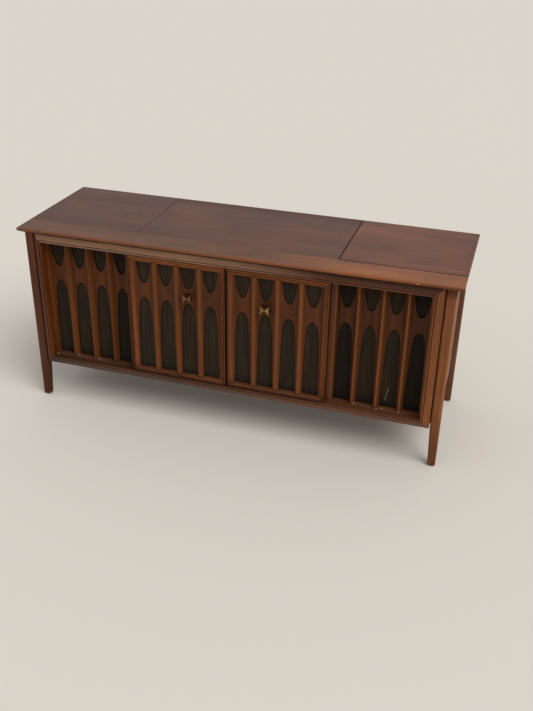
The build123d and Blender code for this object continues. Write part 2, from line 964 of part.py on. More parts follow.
    with BuildPart() as door_fittings:
        for level, toward in ((door_bottom, 1), (door_top, -1)):
            rod(side * door_pivot_x, door_pivot_y, (level, level + toward * bush_length), bush_radius)
            rod(
                side * door_pivot_x,
                door_pivot_y,
                (level, level + toward * (pivot_reach + face_clearance)),
                pivot_radius + running_clearance,
                mode=Mode.SUBTRACT,
            )
        block(
            (side * (catch_offset - strike_margin), side * (catch_offset + catch_width + strike_margin)),
            (door_back, door_back + strike_thick),
            (
                door_top - catch_drop - catch_nose_height - strike_margin,
                door_top - catch_drop + strike_margin,
            ),
        )
    keep(door_fittings, f"{name}_door_fittings")


# Lid fittings: hinge leaves and the slotted track of the stay
stay_arm = (hinge_y - lid_front - stay_front_inset) / 2
slot_near = 2 * stay_arm * cos(radians(stay_open))
slot_far = 2 * stay_arm
track_in = partition_out + stay_offset + stay_bar_thick + stay_track_gap
hinge_half = 3 * knuckle_length / 2
hinge_centres = (hinge_end_inset - well_width / 2, well_width / 2 - hinge_end_inset)
leaf_back = rear + leaf_thick
for side, name in SIDES:
    with BuildPart() as lid_fittings:
        for offset in hinge_centres:
            middle = side * well_centre_x + offset
            block(
                (middle - hinge_half, middle + hinge_half),
                (rear, leaf_back),
                (
                    hinge_z + barrel_radius + leaf_clearance,
                    hinge_z + barrel_radius + leaf_clearance + leaf_height,
                ),
            )
            half_knuckle = knuckle_length / 2 - knuckle_gap
            block(
                (middle - half_knuckle, middle + half_knuckle),
                (rear + barrel_offset - barrel_radius, leaf_back),
                (hinge_z, hinge_z + barrel_radius + leaf_clearance),
            )
            cross_rod((middle - half_knuckle, middle + half_knuckle), hinge_y, hinge_z, barrel_radius)
            cross_rod(
                (middle - half_knuckle, middle + half_knuckle),
                hinge_y,
                hinge_z,
                pin_radius + running_clearance,
                mode=Mode.SUBTRACT,
            )
        slot_half = stay_pin_radius + stay_slot_clearance
        track_ends = (
            hinge_y - slot_far - slot_half - stay_track_end,
            hinge_y - slot_near + slot_half + stay_track_end,
        )
        block(
            (side * track_in, side * (track_in + stay_track_thick)),
            track_ends,
            (hinge_z - stay_track_below, underside),
        )
        block(
            (side * (track_in + stay_track_thick), side * (track_in + stay_flange_width)),
            track_ends,
            (underside - stay_flange_thick, underside),
        )
        block(
            (side * track_in, side * (track_in + stay_track_thick)),
            (hinge_y - slot_far, hinge_y - slot_near),
            (hinge_z - slot_half, hinge_z + slot_half),
            mode=Mode.SUBTRACT,
        )
        for place in (slot_far, slot_near):
            cross_rod(
                (side * track_in, side * (track_in + stay_track_thick)),
                hinge_y - place,
                hinge_z,
                slot_half,
                mode=Mode.SUBTRACT,
            )
    keep(lid_fittings, f"{name}_lid_fittings")

    bar_ends = (side * (partition_out + stay_offset), side * (partition_out + stay_offset + stay_bar_thick))
    with BuildPart() as lid_stay:
        block(
            bar_ends,
            (hinge_y - 2 * stay_arm, hinge_y - stay_arm),
            (hinge_z - stay_bar_height / 2, hinge_z + stay_bar_height / 2),
        )
        for place in (stay_arm, 2 * stay_arm):
            cross_rod(bar_ends, hinge_y - place, hinge_z, stay_bar_height / 2)
        cross_rod(
            (bar_ends[0], side * (track_in + stay_track_thick + stay_track_gap)),
            hinge_y - 2 * stay_arm,
            hinge_z,
            stay_pin_radius,
        )
        cross_rod(
            bar_ends,
            hinge_y - stay_arm,
            hinge_z,
            stay_stud_radius + running_clearance,
            mode=Mode.SUBTRACT,
        )
    keep(lid_stay, f"{name}_lid_stay")

# Fittings on the case: fixed hinge leaves and pins, stay studs, door pivots and catches
with BuildPart() as case_fittings:
    for side, _ in SIDES:
        for offset in hinge_centres:
            middle = side * well_centre_x + offset
            block(
                (middle - hinge_half, middle + hinge_half),
                (rear, leaf_back),
                (
                    hinge_z - barrel_radius - leaf_clearance - leaf_height,
                    hinge_z - barrel_radius - leaf_clearance,
                ),
            )
            for end in (-1, 1):
                knuckle = (middle + end * knuckle_length / 2, middle + end * hinge_half)
                block(
                    knuckle,
                    (rear + barrel_offset - barrel_radius, leaf_back),
                    (hinge_z, hinge_z - barrel_radius - leaf_clearance),
                )
                cross_rod(knuckle, hinge_y, hinge_z, barrel_radius)
            cross_rod((middle - hinge_half, middle + hinge_half), hinge_y, hinge_z, pin_radius)
        stud_end = partition_out + stay_offset + stay_bar_thick + stay_track_gap / 2
        cross_rod((side * partition_out, side * stud_end), hinge_y - stay_arm, hinge_z, stay_stud_radius)
        cross_rod(
            (side * partition_out, side * (partition_out + stay_offset - face_clearance)),
            hinge_y - stay_arm,
            hinge_z,
            stay_bar_height / 2,
        )
        for level, door_level, toward in ((ledge_height, door_bottom, 1), (opening_top, door_top, -1)):
            root = -toward * pivot_root if toward < 0 else 0
            rod(
                side * door_pivot_x,
                door_pivot_y,
                (level + root, door_level + toward * pivot_reach),
                pivot_radius,
            )
            rod(
                side * door_pivot_x,
                door_pivot_y,
                (level, door_level - toward * face_clearance),
                pivot_collar_radius,
            )
        catch_ends = (side * catch_offset, side * (catch_offset + catch_width))
        nose_top = door_top - catch_drop
        block(catch_ends, (frame_back, frame_back + catch_depth), (nose_top - catch_nose_height, underside))
        block(
            catch_ends,
            (door_back + strike_thick + catch_clearance, frame_back),
            (nose_top - catch_nose_height, nose_top),
        )
keep(case_fittings, "case_fittings")


# Record changer, under the left lid
plate_width = well_width - 2 * plate_side_gap
plate_depth = well_depth - 2 * plate_end_gap
deck_hole_width = plate_width - 2 * deck_lap_x
deck_hole_depth = plate_depth - 2 * deck_lap_y
platter_radius = min(
    plate_width / 2 - platter_shift_x - platter_side_margin,
    plate_depth / 2 - platter_shift_y - platter_end_margin,
)
idler_radius = idler_share * platter_radius
motor_radius = motor_share * platter_radius
deck_bottom = deck_height - deck_thick
deck_hole_centre = (-well_centre_x, well_centre_y)
with BuildPart() as turntable_deck:
    block((-leg_inner, -partition_out), (baffle_back, case_back), (deck_bottom, deck_height))
    with Locations((*deck_hole_centre, deck_bottom)):
        Box(
            deck_hole_width,
            deck_hole_depth,
            deck_thick,
            align=(Align.CENTER, Align.CENTER, Align.MIN),
            mode=Mode.SUBTRACT,
        )
keep(turntable_deck, "turntable_deck")

plate_x = -well_centre_x
plate_y = well_centre_y
plate_top = deck_height + plate_skirt
spindle_x = plate_x - platter_shift_x
spindle_y = plate_y - platter_shift_y
platter_bottom = plate_top + platter_rise
platter_top = platter_bottom + platter_height
mat_top = platter_top - mat_recess + mat_thick
pivot_x = plate_x + plate_width / 2 - arm_inset_x
pivot_y = plate_y + plate_depth / 2 - arm_inset_y
arm_length = hypot(pivot_x - spindle_x, pivot_y - spindle_y) + arm_overhang
arm_reach = arm_length - head_length + stylus_setback
turret_base = plate_top + running_clearance
arm_z = mat_top + record_clearance + stylus_height + head_height / 2
drive_z = platter_bottom + drive_lift
idler_track = platter_radius - platter_wall - idler_radius - drive_gap
idler_place = Vector(idler_track, 0).rotate(Axis.Z, idler_angle)
idler_x = spindle_x + idler_place.X
idler_y = spindle_y + idler_place.Y
pulley_track = idler_track - idler_radius - pulley_radii[0] - drive_gap
pulley_place = Vector(pulley_track, 0).rotate(Axis.Z, idler_angle)
pulley_x = spindle_x + pulley_place.X
pulley_y = spindle_y + pulley_place.Y
lever_place = (plate_x + plate_width / 2 - lever_inset_x, plate_y - plate_depth / 2 + lever_inset_y)
rest_y = pivot_y - rest_back

with BuildPart() as changer_base:
    with BuildSketch(Plane.XY.offset(deck_height)):
        with Locations((plate_x, plate_y)):
            RectangleRounded(plate_width, plate_depth, plate_round)
    extrude(amount=plate_skirt)
    with BuildSketch(Plane.XY.offset(deck_height)):
        with Locations((plate_x, plate_y)):
            RectangleRounded(
                plate_width - 2 * plate_wall, plate_depth - 2 * plate_wall, plate_round - plate_wall
            )
    extrude(amount=plate_skirt - plate_wall, mode=Mode.SUBTRACT)
    rod(spindle_x, spindle_y, (plate_top + glue_line, mat_top), bearing_radius)
    rod(spindle_x, spindle_y, (mat_top, mat_top + spindle_rise), spindle_radius)
    fillet(changer_base.edges().group_by(Axis.Z)[-1], spindle_tip)
    rod(idler_x, idler_y, (plate_top + glue_line, drive_z + idler_thick), idler_bore)
    post_hole = turret_post_radius + running_clearance
    rod(pivot_x, pivot_y, (plate_top - plate_wall, plate_top), post_hole, mode=Mode.SUBTRACT)
    rod(
        *lever_place,
        (plate_top - plate_wall, plate_top),
        lever_post_radius + running_clearance,
        mode=Mode.SUBTRACT,
    )
    rod(pulley_x, pulley_y, (plate_top - plate_wall, plate_top), pulley_radii[0], mode=Mode.SUBTRACT)
    rest_top = arm_z - arm_tube_radius - face_clearance
    block(
        (pivot_x - rest_width / 2, pivot_x + rest_width / 2),
        (rest_y - rest_thick / 2, rest_y + rest_thick / 2),
        (plate_top + glue_line, rest_top),
    )
    block(
        (pivot_x + rest_width / 2 - rest_lip, pivot_x + rest_width / 2),
        (rest_y - rest_thick / 2, rest_y + rest_thick / 2),
        (rest_top + glue_line, rest_top + rest_lip),
    )
keep(changer_base, "changer_base")

with BuildPart() as changer_motor:
    motor_top = plate_top - plate_wall
    rod(
        pulley_x,
        pulley_y,
        (motor_top - motor_mount_drop - motor_depth, motor_top - motor_mount_drop),
        motor_radius,
    )
    fillet(changer_motor.edges().filter_by(GeomType.CIRCLE), motor_mount_drop)
    for turn in (0, 120, 240):
        post = Vector(motor_radius * motor_post_share, 0).rotate(Axis.Z, turn)
        rod(
            pulley_x + post.X,
            pulley_y + post.Y,
            (motor_top - motor_mount_drop, motor_top),
            lever_post_radius,
        )
    shaft_end = motor_top - motor_mount_drop - motor_bearing
    rod(
        pulley_x,
        pulley_y,
        (shaft_end - face_clearance, motor_top - motor_mount_drop),
        pulley_bore + running_clearance,
        mode=Mode.SUBTRACT,
    )
keep(changer_motor, "changer_motor")

with BuildPart() as motor_pulley:
    for step, radius in enumerate(pulley_radii):
        rod(
            pulley_x,
            pulley_y,
            (drive_z + step * pulley_step, drive_z + (step + 1) * pulley_step),
            radius,
        )
    rod(pulley_x, pulley_y, (shaft_end, drive_z), pulley_bore)
keep(motor_pulley, "motor_pulley")

with BuildPart() as idler_wheel:
    rod(idler_x, idler_y, (drive_z, drive_z + idler_thick), idler_radius)
    rod(
        idler_x,
        idler_y,
        (drive_z, drive_z + idler_thick),
        idler_bore + running_clearance,
        mode=Mode.SUBTRACT,
    )
keep(idler_wheel, "idler_wheel")

with BuildPart() as platter:
    rod(spindle_x, spindle_y, (platter_bottom, platter_top), platter_radius)
    fillet(platter.edges().group_by(Axis.Z)[-1], nose_round)
    rod(
        spindle_x,
        spindle_y,
        (platter_bottom, platter_top - platter_top_thick),
        platter_radius - platter_wall,
        mode=Mode.SUBTRACT,
    )
    rod(spindle_x, spindle_y, (platter_bottom, platter_top - platter_top_thick), hub_radius)
    rod(
        spindle_x,
        spindle_y,
        (platter_top - mat_recess, platter_top),
        platter_radius - mat_margin,
        mode=Mode.SUBTRACT,
    )
    rod(
        spindle_x,
        spindle_y,
        (platter_bottom, platter_top),
        bearing_radius + running_clearance,
        mode=Mode.SUBTRACT,
    )
keep(platter, "platter")

with BuildPart() as platter_mat:
    rod(spindle_x, spindle_y, (mat_top - mat_thick, mat_top), platter_radius - mat_margin - face_clearance)
    rod(
        spindle_x,
        spindle_y,
        (mat_top - mat_thick, mat_top),
        bearing_radius + face_clearance,
        mode=Mode.SUBTRACT,
    )
keep(platter_mat, "platter_mat")

fork_top = arm_z + fork_height / 2
with BuildPart() as tonearm_turret:
    rod(pivot_x, pivot_y, (turret_base, arm_z - fork_height / 2), turret_radius)
    rod(pivot_x, pivot_y, (turret_base, plate_top - turret_post_drop), turret_post_radius)
    for end in (-1, 1):
        cheek = (pivot_x + end * fork_gap / 2, pivot_x + end * (fork_gap / 2 + fork_wall))
        block(
            cheek,
            (pivot_y - turret_radius / 2, pivot_y + turret_radius / 2),
            (arm_z - fork_height / 2, fork_top),
        )
        cross_rod(cheek, pivot_y, arm_z, arm_axle_radius + running_clearance, mode=Mode.SUBTRACT)
keep(tonearm_turret, "tonearm_turret")

head_back = pivot_y - arm_reach
with BuildPart() as tonearm:
    deep_rod(pivot_x, (head_back, pivot_y + arm_tail), arm_z, arm_tube_radius)
    deep_rod(
        pivot_x, (pivot_y + arm_tail, pivot_y + arm_tail + arm_weight_length), arm_z, arm_weight_radius
    )
    axle_half = fork_gap / 2 + fork_wall
    cross_rod((pivot_x - axle_half, pivot_x + axle_half), pivot_y, arm_z, arm_axle_radius)
    block(
        (pivot_x - head_width / 2, pivot_x + head_width / 2),
        (head_back - head_length, head_back),
        (arm_z - head_height / 2, arm_z + head_height / 2),
    )
    fillet(tonearm.faces().sort_by(Axis.Y)[0].edges().filter_by(Axis.Z), arm_tube_radius)
    rod(
        pivot_x,
        head_back - head_length + stylus_setback,
        (arm_z - head_height / 2, arm_z - head_height / 2 - stylus_height),
        stylus_radius,
    )
keep(tonearm, "tonearm")

with BuildPart() as changer_lever:
    lever_base = plate_top + face_clearance
    rod(*lever_place, (lever_base, lever_base + lever_height), lever_hub_radius)
    rod(*lever_place, (lever_base, plate_top - lever_post_drop), lever_post_radius)
    block(
        (lever_place[0] - lever_width / 2, lever_place[0] + lever_width / 2),
        (lever_place[1], lever_place[1] - lever_length),
        (lever_base, lever_base + lever_height),
    )
keep(changer_lever, "changer_lever")


# Tuner and amplifier, under the right lid
tuner_x = well_centre_x
tuner_y = well_centre_y
knob_base = tuner_deck_height + knob_clearance
dial_y = tuner_y + dial_row_y
knob_y = tuner_y - knob_row_y
knob_pitch = 2 * (well_width / 2 - knob_inset) / 3
big_knob_x = well_width / 2 - big_knob_inset
dial_width = 2 * (big_knob_x - big_knob_radius - dial_gap)
chassis_width = well_width - 2 * chassis_side_gap
chassis_depth = well_depth - 2 * chassis_end_gap
transformer_x = tuner_x + chassis_width / 2 - transformer_inset - transformer_width / 2
can_x = tuner_x - chassis_width / 2 + can_inset + can_radius
works_y = tuner_y - chassis_depth / 2 + works_setback
knobs = {
    "selector_knob": (tuner_x - big_knob_x, dial_y, big_knob_radius),
    "tuning_knob": (tuner_x + big_knob_x, dial_y, big_knob_radius),
    "volume_knob": (tuner_x - 3 * knob_pitch / 2, knob_y, small_knob_radius),
    "balance_knob": (tuner_x - knob_pitch / 2, knob_y, small_knob_radius),
    "bass_knob": (tuner_x + knob_pitch / 2, knob_y, small_knob_radius),
    "treble_knob": (tuner_x + 3 * knob_pitch / 2, knob_y, small_knob_radius),
}
rail_z = tuner_bottom + rail_above + rail_radius
rail_y = dial_y + dial_depth / 2 - rail_setback
rail_hole = rail_radius + running_clearance

with BuildPart() as tuner_deck:
    block((partition_out, leg_inner), (baffle_back, case_back), (tuner_bottom, tuner_deck_height))
    block(
        (tuner_x - dial_width / 2, tuner_x + dial_width / 2),
        (dial_y - dial_depth / 2, dial_y + dial_depth / 2),
        (tuner_bottom, tuner_deck_height),
        mode=Mode.SUBTRACT,
    )
    for x, y, _ in knobs.values():
        rod(x, y, (tuner_bottom, tuner_deck_height), shaft_radius + running_clearance, mode=Mode.SUBTRACT)
keep(tuner_deck, "tuner_deck")

for name, (x, y, radius) in knobs.items():
    with BuildPart() as knob:
        with BuildSketch(Plane.XY.offset(knob_base)):
            with Locations((x, y)):
                Circle(radius)
        with BuildSketch(Plane.XY.offset(knob_base + knob_height)):
            with Locations((x, y)):
                Circle(radius - knob_taper)
        loft(ruled=True)
        fillet(knob.edges().group_by(Axis.Z)[-1], knob_round)
        rod(x, y, (knob_base, knob_base + knob_rim), radius + knob_rim)
        rod(x, y, (knob_base, chassis_top - pot_depth / 2), shaft_radius)
    keep(knob, name)

with BuildPart() as dial_scale:
    half_board = dial_width / 2 + dial_lap
    block(
        (tuner_x - half_board, tuner_x + half_board),
        (dial_y - dial_depth / 2 - dial_lap, dial_y + dial_depth / 2 + dial_lap),
        (tuner_bottom - dial_board_thick, tuner_bottom),
    )
    cross_rod((tuner_x - dial_width / 2, tuner_x + dial_width / 2), rail_y, rail_z, rail_radius)
    for end in (-1, 1):
        rod(
            tuner_x + end * (dial_width / 2 - pointer_width / 2),
            rail_y,
            (tuner_bottom, rail_z),
            rail_radius,
        )
keep(dial_scale, "dial_scale")

with BuildPart() as dial_pointer:
    half_block = pointer_width / 2
    slider_base = tuner_bottom + face_clearance
    block(
        (tuner_x - half_block, tuner_x + half_block),
        (rail_y - half_block, rail_y + half_block),
        (slider_base, rail_z + rail_radius + knob_clearance),
    )
    block(
        (tuner_x - pointer_needle / 2, tuner_x + pointer_needle / 2),
        (rail_y - pointer_length, rail_y),
        (rail_z, rail_z + rail_radius + knob_clearance),
    )
    cross_rod((tuner_x - half_block, tuner_x + half_block), rail_y, rail_z, rail_hole, mode=Mode.SUBTRACT)
keep(dial_pointer, "dial_pointer")

chassis_x = (tuner_x - chassis_width / 2, tuner_x + chassis_width / 2)
chassis_y = (tuner_y - chassis_depth / 2, tuner_y + chassis_depth / 2)
with BuildPart() as receiver_chassis:
    block(chassis_x, chassis_y, (chassis_top - chassis_height, chassis_top))
    block(
        (chassis_x[0] + chassis_wall, chassis_x[1] - chassis_wall),
        (chassis_y[0] + chassis_wall, chassis_y[1] - chassis_wall),
        (chassis_top - chassis_height, chassis_top - chassis_wall),
        mode=Mode.SUBTRACT,
    )
    for x, y, _ in knobs.values():
        rod(x, y, (chassis_top - pot_depth, chassis_top), pot_radius)
        rod(
            x,
            y,
            (chassis_top - 3 * pot_depth / 4, chassis_top),
            shaft_radius + running_clearance,
            mode=Mode.SUBTRACT,
        )
    with Locations((tuner_x, tuner_y, chassis_top)):
        with GridLocations(chassis_width - 2 * standoff_inset, chassis_depth - 2 * standoff_inset, 2, 2):
            Cylinder(standoff_radius, chassis_gap, align=(Align.CENTER, Align.CENTER, Align.MIN))
    block(
        (transformer_x - transformer_width / 2, transformer_x + transformer_width / 2),
        (works_y - transformer_depth / 2, works_y + transformer_depth / 2),
        (chassis_top - chassis_wall - transformer_height, chassis_top - chassis_wall),
    )
    for step in range(3):
        rod(
            can_x + step * can_pitch,
            works_y,
            (chassis_top - chassis_wall - can_height, chassis_top - chassis_wall),
            can_radius,
        )
    apron_ends = (tuner_x - apron_width / 2, tuner_x + apron_width / 2)
    apron_face = case_back + back_panel_thick
    block(
        apron_ends,
        (apron_face - apron_thick, apron_face),
        (apron_level - apron_height / 2, apron_level + apron_height / 2),
    )
    block(
        (apron_ends[0], apron_ends[1]),
        (chassis_y[1], apron_face),
        (apron_level + apron_height / 2 - apron_thick, apron_level + apron_height / 2),
    )
    block(
        apron_ends,
        (chassis_y[1] - chassis_wall, chassis_y[1]),
        (apron_level + apron_height / 2 - apron_thick, chassis_top),
    )
    for step in (-1, 0, 1):
        block(
            (
                tuner_x - terminal_pitch + step * terminal_pitch - terminal_width / 2,
                tuner_x - terminal_pitch + step * terminal_pitch + terminal_width / 2,
            ),
            (apron_face, apron_face + terminal_reach),
            (apron_level - terminal_width / 2, apron_level + terminal_width / 2),
        )
    inlet_x = tuner_x + apron_width / 2 - terminal_pitch
    deep_rod(inlet_x, (apron_face, apron_face + inlet_reach), apron_level, inlet_radius)
    deep_rod(
        inlet_x,
        (apron_face - apron_thick, apron_face + inlet_reach),
        apron_level,
        inlet_bore,
        mode=Mode.SUBTRACT,
    )
keep(receiver_chassis, "receiver_chassis")


# Record dividers behind the doors
divider_back = case_back
divider_depth = case_back - frame_back - divider_setback
with BuildPart() as record_dividers:
    for place in (-divider_pitch / 2, divider_pitch / 2):
        with BuildSketch(Plane.YZ.offset(place - divider_thick / 2)):
            with BuildLine():
                Polyline(
                    (divider_back, ledge_height),
                    (divider_back - divider_depth, ledge_height),
                    (divider_back - divider_depth, ledge_height + divider_front_height),
                )
                Spline(
                    (divider_back - divider_depth, ledge_height + divider_front_height),
                    (divider_back, ledge_height + divider_height),
                    tangents=((0, 1), (1, 0)),
                )
                Line((divider_back, ledge_height + divider_height), (divider_back, ledge_height))
            make_face()
        extrude(amount=divider_thick)
        for end in (-1, 1):
            block(
                (place + end * divider_thick / 2, place + end * divider_foot_width / 2),
                (divider_back - divider_foot_width, divider_back),
                (ledge_height, ledge_height + divider_foot_height),
            )
keep(record_dividers, "record_dividers")
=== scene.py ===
"""Studio scene of the stereo console: its materials, cloth and small parts, on a plain pale floor.

Metres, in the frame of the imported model: +X to the right along the front, +Y to the back, +Z up.
"""

from math import cos, radians, sin, tau

import bmesh
import bpy
from mathutils import Matrix, Vector, noise


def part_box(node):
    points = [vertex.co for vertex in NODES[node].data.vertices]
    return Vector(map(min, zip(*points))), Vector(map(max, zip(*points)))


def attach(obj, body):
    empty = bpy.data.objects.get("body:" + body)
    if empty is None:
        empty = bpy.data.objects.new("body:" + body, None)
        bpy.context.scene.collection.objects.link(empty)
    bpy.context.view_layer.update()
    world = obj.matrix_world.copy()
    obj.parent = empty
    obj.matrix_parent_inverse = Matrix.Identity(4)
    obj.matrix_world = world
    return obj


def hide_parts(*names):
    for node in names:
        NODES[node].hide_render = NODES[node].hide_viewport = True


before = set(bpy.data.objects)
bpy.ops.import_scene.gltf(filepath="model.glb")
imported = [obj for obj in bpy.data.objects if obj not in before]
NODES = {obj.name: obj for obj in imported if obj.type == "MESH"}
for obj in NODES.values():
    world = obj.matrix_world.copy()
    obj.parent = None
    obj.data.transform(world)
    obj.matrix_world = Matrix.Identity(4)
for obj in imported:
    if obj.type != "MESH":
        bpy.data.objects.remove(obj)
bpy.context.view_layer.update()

scene = bpy.context.scene
SIDES = ("left", "right")
MM = 0.001


# Node graphs


def srgb(red, green, blue):
    """A colour as it shows on a screen, 0 to 255, as linear RGBA."""

    def linear(value):
        value /= 255
        return value / 12.92 if value <= 0.04045 else ((value + 0.055) / 1.055) ** 2.4

    return (linear(red), linear(green), linear(blue), 1.0)


def darker(colour, share):
    """The colour at a share of its strength."""
    return tuple(channel * share for channel in colour[:3]) + (1.0,)


class Graph:
    """Short calls for the nodes of one material."""

    def __init__(self, name, **inputs):
        self.material = bpy.data.materials.new(name)
        self.material.use_nodes = True
        self.tree = self.material.node_tree
        self.tree.nodes.clear()
        output = self.node("ShaderNodeOutputMaterial")
        self.shader = self.node("ShaderNodeBsdfPrincipled")
        self.tree.links.new(self.shader.outputs["BSDF"], output.inputs["Surface"])
        self.surface(**inputs)

    def node(self, kind, **settings):
        made = self.tree.nodes.new(kind)
        for key, value in settings.items():
            setattr(made, key, value)
        return made

    def feed(self, socket, value):
        if isinstance(value, bpy.types.NodeSocket):
            self.tree.links.new(value, socket)
        else:
            socket.default_value = value

    def fill(self, made, **inputs):
        """Feeds inputs of a node, whose names have _ for a space."""
        for name, value in inputs.items():
            self.feed(made.inputs[name.replace("_", " ")], value)

    def surface(self, **inputs):
        """Feeds inputs of the shader and gives the material."""
        self.fill(self.shader, **inputs)
        return self.material

    def place(self):
        return self.node("ShaderNodeTexCoord").outputs["Object"]

    def split(self, vector):
        parts = self.node("ShaderNodeSeparateXYZ")
        self.feed(parts.inputs[0], vector)
        return tuple(parts.outputs)

    def join(self, x, y, z):
        joined = self.node("ShaderNodeCombineXYZ")
        for socket, value in zip(joined.inputs, (x, y, z)):
            self.feed(socket, value)
        return joined.outputs[0]

    def vectors(self, operation, first, second):
        made = self.node("ShaderNodeVectorMath", operation=operation)
        self.feed(made.inputs[0], first)
        self.feed(made.inputs[1], second)
        return made.outputs["Value" if operation in ("DISTANCE", "DOT_PRODUCT") else "Vector"]

    def stretch(self, vector, factors):
        return self.vectors("MULTIPLY", vector, factors)

    def shift(self, vector, offset):
        return self.vectors("ADD", vector, offset)

    def math(self, operation, first, second=0.0):
        made = self.node("ShaderNodeMath", operation=operation)
        self.feed(made.inputs[0], first)
        self.feed(made.inputs[1], second)
        return made.outputs[0]

    def plus(self, first, second):
        return self.math("ADD", first, second)

    def minus(self, first, second):
        return self.math("SUBTRACT", first, second)

    def times(self, first, second):
        return self.math("MULTIPLY", first, second)

    def least(self, first, second):
        return self.math("MINIMUM", first, second)

    def most(self, first, second):
        return self.math("MAXIMUM", first, second)

    def above(self, value, level):
        """1 above the level and else 0."""
        return self.math("GREATER_THAN", value, level)

    def below(self, value, level):
        """1 below the level and else 0."""
        return self.math("LESS_THAN", value, level)

    def apart(self, first, second):
        return self.math("ABSOLUTE", self.minus(first, second))

    def span(self, value, low, high, to_low=0.0, to_high=1.0):
        made = self.node("ShaderNodeMapRange", clamp=True)
        for socket, number in zip(made.inputs, (value, low, high, to_low, to_high)):
            self.feed(socket, number)
        return made.outputs[0]

    def noise(self, vector, scale=1.0, detail=3.0, roughness=0.5):
        made = self.node("ShaderNodeTexNoise")
        self.fill(made, Vector=vector, Scale=scale, Detail=detail, Roughness=roughness)
        return made.outputs["Fac"]

    def ramp(self, factor, *stops):
        made = self.node("ShaderNodeValToRGB")
        elements = made.color_ramp.elements
        while len(elements) < len(stops):
            elements.new(0.5)
        for element, (position, colour) in zip(elements, stops):
            element.position = position
            element.color = (*colour[:3], 1.0)
        self.feed(made.inputs[0], factor)
        return made.outputs[0]

    def mix(self, factor, first, second, blend="MIX"):
        made = self.node("ShaderNodeMix", data_type="RGBA", blend_type=blend, clamp_factor=True)
        self.feed(made.inputs[0], factor)
        self.feed(made.inputs[6], first)
        self.feed(made.inputs[7], second)
        return made.outputs[2]

    def paint(self, colour, tone, mask, strength):
        """Lays a tone over the colour, as strongly as the mask times the strength says."""
        return self.mix(self.times(mask, strength), colour, tone)

    def bump(self, height, distance, strength, radius=None):
        """The normal of a bumpy face whose sharp edges are rounded to a radius."""
        made = self.node("ShaderNodeBump")
        self.fill(made, Distance=distance, Strength=strength, Height=height)
        if radius is not None:
            self.fill(made, Normal=self.rounded(radius))
        return made.outputs[0]

    def rounded(self, radius):
        made = self.node("ShaderNodeBevel", samples=4)
        self.fill(made, Radius=radius)
        return made.outputs[0]

    def hollows(self, distance, deep, shallow):
        """1 where less than deep of the nearby surroundings is open, and 0 where more than shallow is."""
        made = self.node("ShaderNodeAmbientOcclusion", samples=8, only_local=True)
        self.fill(made, Distance=distance)
        return self.span(made.outputs["AO"], deep, shallow, 1.0, 0.0)

    def edges(self, radius):
        """About 1 on sharp edges and 0 on flats."""
        plain = self.node("ShaderNodeNewGeometry").outputs["Normal"]
        return self.span(self.vectors("DOT_PRODUCT", self.rounded(radius), plain), 0.99, 0.8)


def finish_nodes(material, *names):
    """Gives CAD nodes a material, on every slot that they have."""
    for name in names:
        data = NODES[name].data
        if not data.materials:
            data.materials.append(material)
        for index in range(len(data.materials)):
            data.materials[index] = material


# Walnut

# Painted shade inside the fret's cut-outs, and a painted highlight on the rib noses
FRET_EDGE_SHADE = srgb(20, 12, 7)
RIB_NOSE_HIGHLIGHT = srgb(138, 84, 46)
# Painted highlight along the top's nosing, partly where it is worn bare
NOSING_HIGHLIGHT_TONE = srgb(150, 84, 42)
RIB_PITCH = 80 * MM
NO_LIGHT_FADE = ((1, 1, 1), (1, 1, 1))
WHOLE_FRONT = (-0.75, 0.75)


def mitred(graph, place, box, board_depth, member_width):
    """For a frame of mitred members in front of a back board: a place whose x runs along each member,
    and masks of the joints, the outer rim, the top member and the inner bead of the bottom one. The rim and the
    bead are masks for painted shade, the top member one for a painted highlight."""
    x, y, z = place
    (x_low, _, z_low), (x_high, _, z_high) = box
    side = graph.least(graph.minus(x, x_low), graph.minus(x_high, x))
    rail = graph.least(graph.minus(z, z_low), graph.minus(z_high, z))
    framed = graph.below(y, board_depth)
    upright = graph.most(graph.below(side, rail), graph.minus(1.0, framed))
    along = graph.mix(upright, graph.join(x, y, z), graph.join(z, y, x))
    joint = graph.times(framed, graph.span(graph.apart(side, rail), 0.2 * MM, 0.7 * MM, 1.0, 0.0))
    level = graph.minus(1.0, upright)
    head = graph.times(level, graph.above(z, z_high - member_width))
    foot = graph.times(level, graph.below(z, z_low + member_width))
    foot = graph.times(foot, graph.span(rail, 0.6 * member_width, 0.85 * member_width))
    rim_shade = graph.span(graph.least(side, rail), 0.6 * MM, 2.0 * MM, 1.0, 0.0)
    rim_shade = graph.times(rim_shade, graph.minus(1.0, graph.times(head, 0.7)))
    return along, joint, rim_shade, head, foot


def ribbed(graph, colour, x, y, light, face, height):
    """Wood of a fretwork whose ribs stand in front of the plane y = face. Each column has its own tint,
    the ribs carry a painted highlight on flank and nose, brighter towards the right, and the sawn edges of the
    fret carry painted shade."""
    column = graph.node("ShaderNodeTexWhiteNoise", noise_dimensions="1D")
    graph.feed(column.inputs["W"], graph.math("FLOOR", graph.math("DIVIDE", x, RIB_PITCH)))
    red = graph.plus(graph.times(column.outputs["Value"], 0.22), 0.9)
    tint = graph.join(red, graph.math("POWER", red, 1.15), graph.math("POWER", red, 1.3))
    colour = graph.mix(1.0, colour, tint, "MULTIPLY")
    nose = graph.span(y, face - 0.75 * height, face - 0.98 * height)
    flank = graph.times(graph.span(y, face, face - 0.4 * MM), graph.minus(1.0, nose))
    # Painted highlight: the ribs' flanks paler than the board
    colour = graph.paint(colour, light, flank, 0.35)
    # Painted shade on the cut edges of the fret, behind its face
    colour = graph.paint(colour, FRET_EDGE_SHADE, graph.span(y, face + 0.2 * MM, face + 1.2 * MM), 0.85)
    # Painted highlight on the rib noses, stronger towards the right, where the light comes from
    nose_highlight = graph.times(nose, graph.span(x, -0.75, 0.35, 0.05, 0.8))
    return graph.mix(nose_highlight, colour, graph.mix(0.5, colour, RIB_NOSE_HIGHLIGHT, "SCREEN"))


